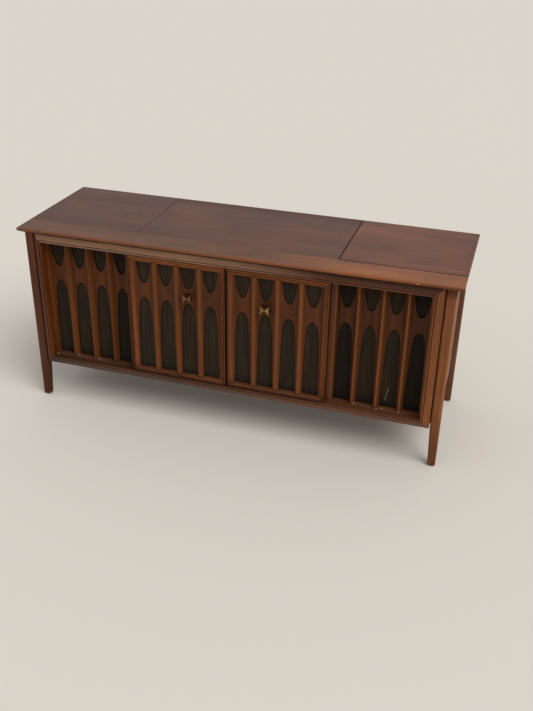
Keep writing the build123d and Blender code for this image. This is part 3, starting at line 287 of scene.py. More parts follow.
def walnut(name, grain, tones, figure=0.35, cloud=0.0, hollow_shade=0.5, crevice_shade=0.0, edge_wear_and_highlight=0.35, mitre=None,
           head_highlight=0.0, ribs=None, nosing=None, dirt_and_shade_bands=(), spots=(), light_fade=NO_LIGHT_FADE, light_fade_span=WHOLE_FRONT,
           polish=1.0, drift_size=0.05, seed=0.0):
    """Satin lacquered walnut whose grain runs along x or z, or along the members of a mitre, which is what
    mitred takes after the place. head_highlight is how strongly its top member is painted paler, as a painted
    highlight. ribs is the face and height that ribbed takes, nosing the front of an edge worn bare and given a
    painted highlight, dirt_and_shade_bands what seam gives, and spots are chips as (centre, radius, strength,
    tone). light_fade is painted light and shade, a tint that changes over light_fade_span along x. hollow_shade
    and crevice_shade paint shade in hollows and crevices, and edge_wear_and_highlight makes edges paler in
    patches, partly as wear and partly as a painted highlight."""
    graph = Graph(name, Coat_Roughness=0.22, Specular_IOR_Level=0.3 * polish)
    x, y, z = graph.split(graph.place())
    if mitre is not None:
        along, joint, rim_shade, head, foot = mitred(graph, (x, y, z), *mitre)
    else:
        along = graph.join(x, y, z) if grain == "x" else graph.join(z, y, x)
    along = graph.shift(along, (seed, seed * 1.7, seed * 0.6))

    # Grain, from broad bands down to pores
    wander = graph.noise(graph.stretch(along, (1.3, 7.0, 7.0)), detail=2.0)
    drift = graph.times(graph.minus(wander, 0.5), drift_size)
    bent = graph.shift(along, graph.join(0.0, drift, drift))
    streak = graph.noise(graph.stretch(bent, (1.7, 62.0, 62.0)), detail=5.0, roughness=0.62)
    _, ring_y, ring_z = graph.split(graph.stretch(bent, (1.0, 190.0, 130.0)))
    swirl = graph.times(graph.noise(graph.stretch(along, (2.1, 8.0, 8.0)), detail=1.0), 11.0)
    rings = graph.math("SINE", graph.plus(graph.plus(ring_y, ring_z), swirl))
    if cloud:
        streak = graph.plus(graph.times(streak, 0.6), 0.2)
    band = graph.plus(streak, graph.times(rings, 0.1 * figure))
    fine = graph.noise(graph.stretch(bent, (14.0, 480.0, 480.0)), detail=3.0, roughness=0.6)
    pores = graph.span(graph.noise(graph.stretch(bent, (60.0, 1500.0, 1500.0)), detail=1.0), 0.60, 0.72)
    blotch = graph.noise(graph.stretch(along, (2.6, 7.0, 7.0)), detail=4.0, roughness=0.6)

    dark, middle, light = tones
    colour = graph.ramp(band, (0.28, dark), (0.5, middle), (0.74, light))
    fibre = graph.ramp(fine, (0.35, darker(middle, 0.68)), (0.65, darker(light, 1.05)))
    colour = graph.mix(0.35, colour, fibre)
    tint = graph.ramp(blotch, (0.3, (0.68, 0.61, 0.61)), (0.7, (1.14, 1.06, 0.96)))
    colour = graph.mix(0.8, colour, tint, "MULTIPLY")
    if cloud:
        mist = graph.noise(graph.stretch(along, (3.4, 8.0, 8.0)), detail=3.0, roughness=0.55)
        tint = graph.ramp(mist, (0.36, (0.72, 0.7, 0.74)), (0.64, (1.3, 1.22, 1.06)))
        colour = graph.mix(cloud, colour, tint, "MULTIPLY")
    colour = graph.paint(colour, darker(dark, 0.4), pores, 0.45)
    # Painted light and shade: a tint that changes along x
    if light_fade != NO_LIGHT_FADE:
        tint = graph.join(*(graph.span(x, *light_fade_span, low, high) for low, high in zip(*light_fade)))
        colour = graph.mix(1.0, colour, tint, "MULTIPLY")

    # Painted highlights and shade, dark joints, chips and rubbed edges
    if ribs is not None:
        colour = ribbed(graph, colour, x, y, light, *ribs)
    if nosing is not None:
        # Painted highlight along the nosing, partly wear, stronger towards the right
        front = graph.span(y, nosing + 3.5 * MM, nosing + 0.5 * MM)
        colour = graph.paint(colour, NOSING_HIGHLIGHT_TONE, front, graph.span(x, -0.75, 0.4, 0.1, 0.55))
    near = 0.0
    for axis, edge, width, strength, starts, lowest, deepest in dirt_and_shade_bands:
        away = graph.apart({"x": x, "y": y, "z": z}[axis], edge)
        line = graph.times(graph.span(away, 0.4 * width, width, strength, 0.0), graph.span(x, *starts))
        line = graph.times(graph.times(line, graph.above(z, lowest)), graph.below(y, deepest))
        # Darker along each band: dirt at joints, and painted shade in gaps and below overhangs
        colour = graph.mix(line, colour, darker(dark, 0.16))
        near = graph.most(near, line)
    for centre, radius, strength, tone in spots:
        far = graph.vectors("DISTANCE", graph.place(), centre)
        ragged = graph.times(graph.minus(graph.noise(graph.place(), scale=420.0), 0.5), radius)
        chip = graph.span(graph.plus(far, ragged), 0.5 * radius, 0.8 * radius, strength, 0.0)
        colour = graph.mix(chip, colour, tone)
    if mitre is not None:
        # Painted highlight on the top member
        colour = graph.paint(colour, light, head, head_highlight)
        # Painted shade on the bottom member's inner bead, by the cloth
        colour = graph.paint(colour, darker(dark, 0.3), foot, 0.6)
        colour = graph.paint(colour, darker(dark, 0.25), joint, 0.75)
        # Painted shade round the outer rim, in the gaps round the door
        colour = graph.paint(colour, darker(dark, 0.12), rim_shade, 0.85)
    # Painted shade: darker in hollows and crevices, where little light reaches
    if hollow_shade:
        colour = graph.paint(colour, darker(dark, 0.22), graph.hollows(14 * MM, 0.35, 0.9), hollow_shade)
    if crevice_shade:
        colour = graph.paint(colour, darker(dark, 0.12), graph.hollows(4 * MM, 0.4, 0.8), crevice_shade)
    # Edges paler in patches: partly wear, partly a painted highlight
    patches = graph.span(graph.noise(along, scale=38.0, detail=4.0), 0.46, 0.66)
    colour = graph.paint(colour, darker(light, 1.75), graph.times(graph.edges(1.2 * MM), patches), edge_wear_and_highlight)

    sheen = graph.plus(graph.times(blotch, 0.22), graph.times(pores, 0.2))
    return graph.surface(
        Base_Color=colour,
        Roughness=graph.plus(graph.plus(sheen, graph.times(near, 0.4)), 0.33),
        Coat_Weight=graph.span(near, 0.0, 0.6, 0.1 * polish, 0.0),
        Normal=graph.bump(graph.minus(graph.times(fine, 0.6), pores), 0.12 * MM, 0.5, 0.7 * MM),
    )


# Tones are dark, middle and light. Light fades are the tints at the left and right end of their span: painted
# light and shade along x, such as the legs, stiles and bottom rail darker at the left, the fretwork darker at
# the right, painted sheen towards the right of the top, and a painted reflection at the left of the top rail
# with painted shadow at its right
TOP_TONES = (srgb(58, 33, 26), srgb(82, 49, 38), srgb(104, 66, 49))
STRIP_TONES = (srgb(74, 43, 27), srgb(104, 65, 41), srgb(132, 87, 55))
CASE_TONES = (srgb(80, 42, 20), srgb(114, 66, 34), srgb(146, 91, 50))
FRONT_TONES = (srgb(54, 27, 13), srgb(84, 46, 23), srgb(114, 66, 33))
FRAME_TONES = (srgb(74, 38, 17), srgb(108, 61, 30), srgb(140, 84, 43))
LEDGE_TONES = (srgb(59, 43, 31), srgb(88, 63, 45), srgb(118, 85, 60))
INNER_TONES = (srgb(92, 64, 42), srgb(126, 92, 62), srgb(154, 118, 82))
CASE_LIGHT_FADE = ((0.48, 0.4, 0.36), (1.04, 1.06, 1.1))
STILE_LIGHT_FADE = ((0.56, 0.44, 0.27), (1.04, 1.06, 1.1))
REAR_LIGHT_FADE = ((0.48, 0.4, 0.36), (0.94, 1.15, 1.7))
HEAD_LIGHT_FADE = ((1.28, 2.05, 3.9), (0.5, 0.4, 0.32))
FOOT_LIGHT_FADE = ((0.24, 0.26, 0.31), (0.84, 0.82, 0.82))
LEDGE_LIGHT_FADE = ((0.85, 0.9, 1.0), (1.25, 1.05, 0.95))
FRONT_LIGHT_FADE = ((1.0, 1.0, 0.95), (0.66, 0.62, 0.62))
DOOR_LIGHT_FADE = ((0.86, 0.82, 0.8), (0.94, 0.9, 0.88))
TOP_LIGHT_FADE = ((0.87, 0.74, 0.69), (1.1, 1.04, 0.98))
LID_LIGHT_FADE = ((1.42, 1.3, 1.1), (1.46, 1.28, 1.06))
STRIP_LIGHT_FADE = ((0.82, 0.78, 0.74), (1.55, 1.36, 1.02))

(LEFT_SEAM, _, BOARD_LOW), (RIGHT_SEAM, REAR_EDGE, _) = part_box("top_centre_panel")
(_, NOSING, UNDERSIDE), (_, FRONT_SEAM, _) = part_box("top_front_rail")
LEFT_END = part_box("left_lid")[0].x
RIGHT_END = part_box("right_lid")[1].x
STILE_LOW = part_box("frame_left_stile")[0]
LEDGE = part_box("left_fretwork")[0].z
TOP_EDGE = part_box("right_lid")[1].z - 2.5 * MM
LIPPING = 10 * MM
MID_DEPTH = 0.0
EVERYWHERE = (LEFT_END - 0.1, LEFT_END)
BY_RIGHT_LID = (RIGHT_SEAM - 1 * MM, RIGHT_SEAM)


def seam(axis, edge, width, strength, starts=EVERYWHERE, lowest=0.0, deepest=1.0):
    """Darker, duller lacquer along a line, as dirt at joints, painted shade in gaps and below overhangs, and
    darkening towards a foot or an edge: the axis it crosses, its place there, its reach in mm, its strength,
    which grows over starts along x, the level above and the depth before which it shows."""
    return (axis, edge, width * MM, strength, starts, lowest, deepest)


def top_seam(axis, edge, width, strength, starts=EVERYWHERE):
    """A dark band in the upper face of the top."""
    return seam(axis, edge, width, strength, starts, TOP_EDGE)


NICK = ((0.6204, NOSING, 0.6619), 4.5 * MM, 0.7, srgb(204, 150, 98))
for number, (node_name, tones, light_fade, light_fade_span, dirt_and_shade_bands) in enumerate((
    (
        "top_front_rail", STRIP_TONES, STRIP_LIGHT_FADE, (0.18, 0.56),
        (
            top_seam("y", FRONT_SEAM, 3.6, 0.9, BY_RIGHT_LID),
            # Painted shade on the nosing's lower part, deeper towards the right
            seam("z", UNDERSIDE, 14, 0.5, (0.1, 0.45), deepest=NOSING + 10 * MM),
            seam("z", UNDERSIDE, 22, 0.55, (0.48, 0.68), deepest=NOSING + 3 * MM),
        ),
    ),
    (
        "top_centre_panel", TOP_TONES, TOP_LIGHT_FADE, (-0.75, 0.3),
        (
            top_seam("x", LEFT_SEAM, 2.16, 0.6), top_seam("x", RIGHT_SEAM, 3.6, 0.9),
            # The rear-edge band makes the panel darker and duller towards the back
            top_seam("y", FRONT_SEAM, 3.6, 0.25), top_seam("y", REAR_EDGE, 70, 0.2),
        ),
    ),
    (
        "left_lid", TOP_TONES, TOP_LIGHT_FADE, (-0.75, 0.3),
        (
            top_seam("x", LEFT_SEAM, 2.16, 0.6), top_seam("y", FRONT_SEAM, 3.6, 0.3),
            top_seam("x", LEFT_END + LIPPING, 0.6, 0.6),
        ),
    ),
    (
        "right_lid", TOP_TONES, LID_LIGHT_FADE, (0.3, 0.75),
        (
            top_seam("x", RIGHT_SEAM, 3.6, 0.9), top_seam("y", FRONT_SEAM, 4.32, 0.9),
            top_seam("x", RIGHT_END - LIPPING, 0.6, 0.6),
        ),
    ),
)):
    nosed = node_name == "top_front_rail"
    finish_nodes(
        walnut(
            f"walnut_{node_name}", "x", tones, figure=0.25, cloud=0.9, hollow_shade=0.0, edge_wear_and_highlight=0.5, seed=0.37 * number,
            light_fade=light_fade, light_fade_span=light_fade_span, nosing=NOSING if nosed else None, dirt_and_shade_bands=dirt_and_shade_bands,
            spots=(NICK,) if nosed else (),
        ),
        node_name,
    )
for node_name, light_fade in (("front_legs", CASE_LIGHT_FADE), ("rear_legs", REAR_LIGHT_FADE)):
    finish_nodes(
        walnut(
            f"walnut_{node_name}", "z", CASE_TONES, hollow_shade=0.3, edge_wear_and_highlight=0.5, light_fade=light_fade, polish=0.7,
            drift_size=0.015,
            dirt_and_shade_bands=(
                # Painted shade beside the groove between the left leg and the left stile
                seam("x", STILE_LOW.x, 6, 0.9, lowest=STILE_LOW.z, deepest=MID_DEPTH),
                # Darker towards the floor
                seam("z", 0.0, 200, 0.38),
                # Painted shadow under the top's overhang, on the right legs
                seam("z", UNDERSIDE, 36, 0.6, (0.5, 0.7), deepest=MID_DEPTH),
            ),
        ),
        node_name,
    )
finish_nodes(
    walnut(
        "walnut_stiles", "z", CASE_TONES, hollow_shade=0.6, crevice_shade=0.8, edge_wear_and_highlight=0.7, light_fade=STILE_LIGHT_FADE, polish=0.5,
        # Painted shade along the groove between the left stile and the left leg
        drift_size=0.015, seed=1.4, dirt_and_shade_bands=(seam("x", STILE_LOW.x, 8, 0.9),),
    ),
    "frame_left_stile", "frame_right_stile",
)
for node_name, light_fade, light_fade_span, dirt_and_shade_bands in (
    (
        "frame_top_rail", HEAD_LIGHT_FADE, (0.06, 0.32),
        # Painted shadow below the top's nosing, deeper towards the right
        (seam("z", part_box("frame_top_rail")[1].z, 24, 0.45, (-0.05, 0.35)),),
    ),
    # Painted shade on the bottom rail's top face by the ledge
    ("frame_bottom_rail", FOOT_LIGHT_FADE, (-0.75, 0.5), (seam("z", LEDGE, 2.5, 0.45),)),
    ("rear_rail", NO_LIGHT_FADE, WHOLE_FRONT, ()),
):
    finish_nodes(
        walnut(
            f"walnut_{node_name}", "x", CASE_TONES, crevice_shade=0.8, edge_wear_and_highlight=0.7, light_fade=light_fade, light_fade_span=light_fade_span,
            dirt_and_shade_bands=dirt_and_shade_bands, drift_size=0.01, seed=2.3,
        ),
        node_name,
    )
finish_nodes(
    walnut(
        "walnut_side", "z", CASE_TONES, figure=0.6, hollow_shade=0.25, seed=4.1,
        # Painted shadow under the top's overhang
        dirt_and_shade_bands=(seam("z", UNDERSIDE, 16, 0.6),),
    ),
    "left_side_panel", "right_side_panel",
)

# How far the ribs stand proud, and each door's painted light and darkening: the painted highlight on its top
# member, the painted shade at its left side and its right side, and how much darker it is towards its foot
BAY_RIBS = 20 * MM
DOOR_RIBS = 9 * MM
DOOR_MEMBER = 20 * MM
DOOR_HIGHLIGHTS_AND_DARKENING = {"left": (0.5, 0.85, 0.7, 0.25), "right": (0.2, 0.95, 0.3, 0.45)}
for side in SIDES:
    for area, node_name, height, seed in (
        ("bay", f"{side}_fretwork", BAY_RIBS, 5.2), ("door", f"{side}_door_fretwork", DOOR_RIBS, 6.9),
    ):
        low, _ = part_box(node_name)
        finish_nodes(
            walnut(
                f"walnut_{side}_{area}", "z", FRONT_TONES, hollow_shade=0.3, edge_wear_and_highlight=0.6, ribs=(low.y + height, height),
                light_fade=FRONT_LIGHT_FADE, polish=0.4, seed=seed + low.x,
            ),
            node_name,
        )
    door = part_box(f"{side}_door_frame")
    front = door[0].y + 4 * MM
    board_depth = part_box(f"{side}_door_fretwork")[1].y + 1 * MM
    head_highlight, left_edge_shade, right_edge_shade, foot_darkening = DOOR_HIGHLIGHTS_AND_DARKENING[side]
    finish_nodes(
        walnut(
            f"walnut_{side}_door_frame", None, FRAME_TONES, crevice_shade=0.8, edge_wear_and_highlight=0.7,
            mitre=(door, board_depth, DOOR_MEMBER), head_highlight=head_highlight, light_fade=DOOR_LIGHT_FADE, polish=0.5,
            dirt_and_shade_bands=(
                # Painted shade at the left and right sides and in the gap below the door, and darker towards
                # the foot
                seam("x", door[0].x, 7, left_edge_shade, deepest=front),
                seam("x", door[1].x, 3, right_edge_shade, deepest=front),
                seam("z", door[0].z, 6.5, 0.9, deepest=front),
                seam("z", door[0].z, 40, foot_darkening, deepest=door[0].y + 9 * MM),
            ),
            drift_size=0.008, seed=8.0,
        ),
        f"{side}_door_frame",
    )
finish_nodes(
    walnut("walnut_partition", "z", FRONT_TONES, hollow_shade=0.4, seed=9.4), "left_partition", "right_partition"
)

# The chips' x and y on the ledge, and their size in mm
CHIPS = (
    (0.4450, -0.2017, 4.5), (0.5988, -0.2084, 4.5), (0.5247, -0.2140, 3.5), (0.5423, -0.2035, 3.0),
    (-0.6682, -0.2145, 4.5), (-0.5898, -0.1990, 4.0), (-0.5059, -0.2004, 3.5),
)
CHIP_TONE = srgb(196, 170, 136)
finish_nodes(
    walnut(
        "walnut_ledge", "x", LEDGE_TONES, edge_wear_and_highlight=0.5, seed=10.1, light_fade=LEDGE_LIGHT_FADE,
        spots=tuple(((x, y, LEDGE), 1.3 * size * MM, 0.85, CHIP_TONE) for x, y, size in CHIPS),
    ),
    "bottom_panel",
)
finish_nodes(
    walnut("stained_board", "x", INNER_TONES, figure=0.2, hollow_shade=0.4, seed=11.2),
    "speaker_baffles", "turntable_deck", "record_dividers",
)


# Other materials


def speckled(name, base, spread, scale, roughness, hollow_shade=0.0, **shader):
    """An even finish with fine mottling, as enamel, moulded plastic, rubber or hardboard."""
    graph = Graph(name, **shader)
    place = graph.place()
    grain = graph.noise(place, scale=scale, detail=4.0, roughness=0.6)
    cloud = graph.noise(place, scale=9.0, detail=2.0)
    colour = graph.ramp(grain, (0.35, darker(base, 1 - spread)), (0.65, darker(base, 1 + spread)))
    tint = graph.ramp(cloud, (0.3, (0.75, 0.75, 0.75)), (0.7, (1, 1, 1)))
    colour = graph.mix(0.35, colour, tint, "MULTIPLY")
    # Painted shade: darker in hollows
    if hollow_shade:
        colour = graph.paint(colour, darker(base, 0.3), graph.hollows(8 * MM, 0.4, 0.95), hollow_shade)
    return graph.surface(
        Base_Color=colour,
        Roughness=graph.span(cloud, 0.2, 0.8, roughness - 0.07, roughness + 0.07),
        Normal=graph.bump(grain, 0.05 * MM, 0.6, 0.3 * MM),
    )


PULL_LEFT_SLOPE_SHADE = srgb(104, 76, 54)
PULL_UPPER_SLOPE_SHADE = srgb(52, 16, 11)
PULL_LOWER_SLOPE_SHADE = srgb(66, 36, 20)
PULL_FLANK_SHADE = srgb(26, 8, 8)
PULL_DISH = 9 * MM


def pull_face(graph, colour, place, front, centre):
    """The four slopes of a pull's dished face, with painted light: bright at the right, a duller painted
    reflection at the left, painted shade above and below. Past the dish its flanks take black painted shade."""
    x, y, z = place
    across = graph.minus(x, centre.x)
    level = graph.minus(z, centre.z)
    aside = graph.math("ABSOLUTE", across)
    # Painted reflection: the left slopes duller than the right
    colour = graph.mix(graph.span(across, 0.5 * MM, -0.5 * MM, 0.0, 0.5), colour, PULL_LEFT_SLOPE_SHADE)
    upper = graph.span(graph.minus(level, aside), -1.0 * MM, 1.0 * MM)
    lower = graph.span(graph.plus(level, aside), 1.0 * MM, -1.0 * MM)
    # Painted shade on the upper and lower slopes
    colour = graph.paint(colour, PULL_UPPER_SLOPE_SHADE, upper, 0.94)
    colour = graph.paint(colour, PULL_LOWER_SLOPE_SHADE, lower, 0.9)
    # Painted shade on the flanks, past the dish
    outside = graph.above(graph.most(graph.math("ABSOLUTE", level), aside), PULL_DISH)
    flank = graph.times(outside, graph.span(y, front + 2.0 * MM, front + 3.5 * MM))
    return graph.paint(colour, PULL_FLANK_SHADE, flank, 0.9)


def metal(name, bright, dull, roughness, centre=None, brushed=False, pull=None):
    """Worn metal. centre turns it on a lathe about that upright axis, brushed draws it along x. pull is the
    front and the middle of a door pull, which has a patina in its hollows, painted light and shade on its
    slopes and flanks, and painted highlights on its edges."""
    graph = Graph(name, Metallic=1.0)
    place = graph.place()
    x, y, z = graph.split(place)
    if centre is not None:
        across, deep = graph.minus(x, centre.x), graph.minus(y, centre.y)
        radius = graph.math("SQRT", graph.plus(graph.times(across, across), graph.times(deep, deep)))
        lines = graph.noise(graph.join(graph.times(radius, 2600.0), 0.0, 0.0), detail=2.0)
    elif brushed:
        lines = graph.noise(graph.stretch(place, (14.0, 2400.0, 2400.0)), detail=2.0)
    else:
        lines = graph.noise(place, scale=900.0, detail=2.0)
    cloud = graph.noise(place, scale=55.0, detail=5.0, roughness=0.65)
    colour = graph.ramp(graph.span(cloud, 0.35, 0.65), (0.0, dull), (1.0, bright))
    if pull is not None:
        colour = pull_face(graph, colour, (x, y, z), *pull)
        colour = graph.paint(colour, darker(dull, 0.3), graph.hollows(5 * MM, 0.55, 1.0), 0.7)
        # Painted highlights on the pull's edges
        colour = graph.paint(colour, darker(bright, 1.25), graph.edges(0.8 * MM), 0.7)
    uneven = graph.plus(graph.times(lines, 0.16), graph.times(cloud, 0.1))
    return graph.surface(
        Base_Color=colour, Roughness=graph.plus(uneven, roughness - 0.13),
        Normal=graph.bump(lines, 0.02 * MM, 0.5, 0.3 * MM),
    )


YARN_TONES = (srgb(34, 24, 14), srgb(50, 38, 23), srgb(64, 49, 30), srgb(88, 69, 42))
WARP = 1.1 * MM
WEFT = 0.9 * MM
FOOT_SHADE_REACH = 28 * MM
SHADE_EDGE_BLUR = 12 * MM


def grille_weave(name, foot, shaded_columns=(), scratch=None):
    """Dark speaker cloth with slubby upright yarns over a fine weft, with painted shade down at its foot.
    shaded_columns are the (from, to) along x where it takes painted shade of the frames. scratch is the lower
    and upper end and the half width of a pale scratch."""
    graph = Graph(name, Sheen_Weight=0.06, Sheen_Roughness=0.5, Specular_IOR_Level=0.15, Roughness=0.85)
    place = graph.place()
    x, _, z = graph.split(place)
    warp = graph.math("SINE", graph.times(x, tau / WARP))
    weave = graph.times(warp, graph.math("SINE", graph.times(z, tau / WEFT)))
    slub = graph.noise(graph.stretch(place, (430.0, 1.0, 9.0)), detail=4.0, roughness=0.7)
    yarn = graph.noise(graph.stretch(place, (150.0, 1.0, 3.0)), detail=2.0)
    haze = graph.noise(place, scale=14.0, detail=2.0)
    colour = graph.ramp(slub, *zip((0.32, 0.5, 0.62, 0.75), YARN_TONES))
    tint = graph.ramp(yarn, (0.35, (0.55, 0.55, 0.5)), (0.65, (1.15, 1.1, 1.0)))
    colour = graph.mix(0.5, colour, tint, "MULTIPLY")
    colour = graph.mix(graph.span(weave, -1.0, 1.0, 0.4, 0.0), colour, srgb(12, 10, 7))
    tint = graph.ramp(haze, (0.3, (0.6, 0.6, 0.6)), (0.7, (1, 1, 1)))
    colour = graph.mix(0.3, colour, tint, "MULTIPLY")
    # Painted shade at the cloth's foot, under the frame's lip
    colour = graph.mix(graph.span(z, foot, foot + FOOT_SHADE_REACH, 0.75, 0.0), colour, srgb(14, 9, 7))
    # Painted shade of the frames on the end columns
    for start, end in shaded_columns:
        past_start = graph.span(x, start, start + SHADE_EDGE_BLUR)
        before_end = graph.span(x, end - SHADE_EDGE_BLUR, end, 1.0, 0.0)
        colour = graph.paint(colour, srgb(20, 12, 9), graph.times(past_start, before_end), 0.6)
    if scratch is not None:
        (x_low, z_low), (x_high, z_high), half_width = scratch
        middle_x = graph.plus(graph.times(graph.span(z, z_low, z_high), x_high - x_low), x_low)
        line = graph.span(graph.apart(x, middle_x), 0.4 * half_width, half_width, 0.8, 0.0)
        between = graph.times(graph.above(z, z_low), graph.below(z, z_high))
        colour = graph.paint(colour, srgb(150, 134, 104), between, line)
    height = graph.plus(weave, graph.times(slub, 1.5))
    return graph.surface(Base_Color=colour, Normal=graph.bump(height, 0.25 * MM, 0.8))


PLATED = metal("plated_steel", srgb(196, 170, 112), srgb(150, 124, 78), 0.3)
STEEL = metal("bright_steel", srgb(196, 196, 194), srgb(150, 150, 150), 0.28)
DARK_STEEL = speckled("glide_metal", srgb(62, 58, 54), 0.2, 300.0, 0.45, Metallic=0.8)
ENAMEL = speckled("plate_enamel", srgb(206, 200, 184), 0.03, 500.0, 0.38, hollow_shade=0.5, Coat_Weight=0.3)
MOTOR = speckled("motor_enamel", srgb(92, 94, 96), 0.08, 400.0, 0.45, hollow_shade=0.4)
RUBBER = speckled("black_rubber", srgb(38, 38, 39), 0.15, 900.0, 0.72, hollow_shade=0.3)
ARM_PLASTIC = speckled("arm_plastic", srgb(48, 47, 46), 0.06, 700.0, 0.32, hollow_shade=0.3)
CONE_PAPER = speckled("cone_paper", srgb(46, 44, 42), 0.22, 260.0, 0.8, hollow_shade=0.4)
HARDBOARD = speckled("hardboard", srgb(112, 80, 54), 0.14, 380.0, 0.66, hollow_shade=0.5)
RED_PLASTIC = speckled("pointer_red", srgb(212, 70, 36), 0.05, 600.0, 0.35)
DIAL_BLACK = speckled("dial_black", srgb(30, 30, 33), 0.08, 500.0, 0.22, Coat_Weight=0.5)
DIAL_PRINT = speckled("dial_print", srgb(226, 214, 178), 0.03, 500.0, 0.5)
INK = speckled("panel_ink", srgb(44, 42, 40), 0.05, 500.0, 0.5)
CHASSIS = speckled("chassis_plate", srgb(168, 170, 170), 0.1, 120.0, 0.36, hollow_shade=0.5, Metallic=0.9)
TUNER_PANEL = metal("tuner_panel", srgb(206, 200, 188), srgb(197, 190, 177), 0.4, brushed=True)
MAT_CREST = speckled("mat_crest", srgb(74, 74, 75), 0.1, 900.0, 0.6)
CREAM_PLASTIC = speckled("cream_plastic", srgb(186, 178, 160), 0.03, 700.0, 0.34, hollow_shade=0.4)
WEAVE = grille_weave("grille_weave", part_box("left_door_frame")[0].z + DOOR_MEMBER)
SCRATCH = ((0.5468, 0.202), (0.5552, 0.253), 1.6 * MM)
COLUMNS = 4
BAY_WEAVES = {}
for side in SIDES:
    low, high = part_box(f"{side}_fretwork")
    pitch = (high.x - low.x) / COLUMNS
    # The columns beside the doors, and in the right bay the one by the right stile, take painted shade
    columns = ((high.x - pitch, high.x),)
    if side == "right":
        columns = ((low.x, low.x + pitch), *columns)
    BAY_WEAVES[side] = grille_weave(f"{side}_bay_weave", LEDGE, columns, SCRATCH if side == "right" else None)

for material, *names in (
    (
        PLATED, "case_fittings",
        *(f"{side}_{fitting}" for side in SIDES for fitting in ("lid_fittings", "lid_stay", "door_fittings")),
    ),
    (DARK_STEEL, "foot_glides"),
    (ENAMEL, "changer_base"),
    (MOTOR, "changer_motor"),
    (STEEL, "motor_pulley"),
    (RUBBER, "platter_mat", "idler_wheel"),
    (ARM_PLASTIC, "tonearm_turret", "changer_lever"),
    (CREAM_PLASTIC, "tonearm"),
    (CONE_PAPER, "woofers", "tweeters"),
    (HARDBOARD, "back_panel"),
    (RED_PLASTIC, "dial_pointer"),
    (DIAL_BLACK, "dial_scale"),
    (CHASSIS, "receiver_chassis"),
    (TUNER_PANEL, "tuner_deck"),
    (WEAVE, "grille_cloths", "left_door_cloth", "right_door_cloth"),
):
    finish_nodes(material, *names)


def middle(node_name):
    """The middle of a node's box."""
    low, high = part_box(node_name)
    return (low + high) / 2


# The left pull is painted darker than the right, as painted shade
for side, bright in (("left", srgb(154, 112, 84)), ("right", srgb(186, 146, 92))):
    node_name = f"{side}_door_pull"
    finish_nodes(
        metal(
            f"antique_brass_{side}", bright, srgb(104, 72, 48), 0.36,
            pull=(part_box(node_name)[0].y, middle(node_name)),
        ),
        node_name,
    )
finish_nodes(
    metal("platter_metal", srgb(206, 206, 204), srgb(176, 176, 174), 0.3, centre=middle("platter")), "platter"
)
KNOBS = ("tuning", "selector", "volume", "bass", "treble", "balance")
for knob in KNOBS:
    node_name = f"{knob}_knob"
    finish_nodes(
        metal(f"{node_name}_metal", srgb(212, 206, 194), srgb(176, 168, 152), 0.26, centre=middle(node_name)),
        node_name,
    )


# Pieces


def link(made):
    """Puts an object in the scene."""
    scene.collection.objects.link(made)


def gathered(name, mesh):
    """The mesh data of a bmesh, which ends here."""
    data = bpy.data.meshes.new(name)
    mesh.to_mesh(data)
    mesh.free()
    return data


def piece(name, mesh, material, body, smooth):
    """Adds a mesh to the scene as a piece, on a body of the frame."""
    data = gathered(name, mesh)
    made = bpy.data.objects.new(name, data)
    link(made)
    data.materials.append(material)
    for polygon in data.polygons:
        polygon.use_smooth = smooth
    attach(made, body)
    return made


CLOTH_COLUMNS, CLOTH_ROWS = 48, 64
CLOTH_WAVE = 0.2 * MM


def stretched_cloth(name, low, high, plane, material, body, replaced, carriers):
    """A cloth stretched flat behind a fretwork, with the faint waves of its yarns' tension."""
    mesh = bmesh.new()
    grid = []
    for row in range(CLOTH_ROWS + 1):
        line = []
        for column in range(CLOTH_COLUMNS + 1):
            x = low.x + (high.x - low.x) * column / CLOTH_COLUMNS
            z = low.z + (high.z - low.z) * row / CLOTH_ROWS
            wave = noise.noise(Vector((x * 9.0, z * 2.0, 3.1))) * CLOTH_WAVE
            line.append(mesh.verts.new((x, plane + wave, z)))
        grid.append(line)
    for line, upper in zip(grid, grid[1:]):
        for column in range(CLOTH_COLUMNS):
            mesh.faces.new((line[column], line[column + 1], upper[column + 1], upper[column]))
    made = piece(name, mesh, material, body, True)
    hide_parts(replaced)


for side in SIDES:
    stretched_cloth(
        f"{side}_bay_cloth", *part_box(f"{side}_fretwork"), middle("grille_cloths").y, BAY_WEAVES[side], "case",
        "grille_cloths", ["speaker_baffles", f"{side}_fretwork"],
    )
    door_cloth = f"{side}_door_cloth"
    stretched_cloth(
        f"{side}_door_weave", *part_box(door_cloth), middle(door_cloth).y, WEAVE, f"{side}_door", door_cloth,
        [f"{side}_door_fretwork", f"{side}_door_frame"],
    )


# Small parts: shapes added to one mesh at a time


def around(centre, reach, angle):
    """The (x, y) at a reach and an angle round an upright axis."""
    return centre[0] + reach * cos(angle), centre[1] + reach * sin(angle)


def flat_shape(mesh, outline, low, high, bevel=0.0):
    """Adds an upright slab over a closed outline of (x, y), its top rim bevelled towards the middle."""
    count = len(outline)
    middle_x = sum(x for x, _ in outline) / count
    middle_y = sum(y for _, y in outline) / count
    levels = ((low, 0.0), (high - bevel, 0.0), (high, bevel)) if bevel else ((low, 0.0), (high, 0.0))
    rings = []
    for level, inset in levels:
        ring = []
        for x, y in outline:
            reach = max(((x - middle_x) ** 2 + (y - middle_y) ** 2) ** 0.5, inset)
            share = 1 - inset / reach if reach else 1.0
            x, y = middle_x + (x - middle_x) * share, middle_y + (y - middle_y) * share
            ring.append(mesh.verts.new((x, y, level)))
        rings.append(ring)
    for below, above in zip(rings, rings[1:]):
        for index in range(count):
            after = (index + 1) % count
            mesh.faces.new((below[index], below[after], above[after], above[index]))
    mesh.faces.new(rings[-1])
    mesh.faces.new(list(reversed(rings[0])))


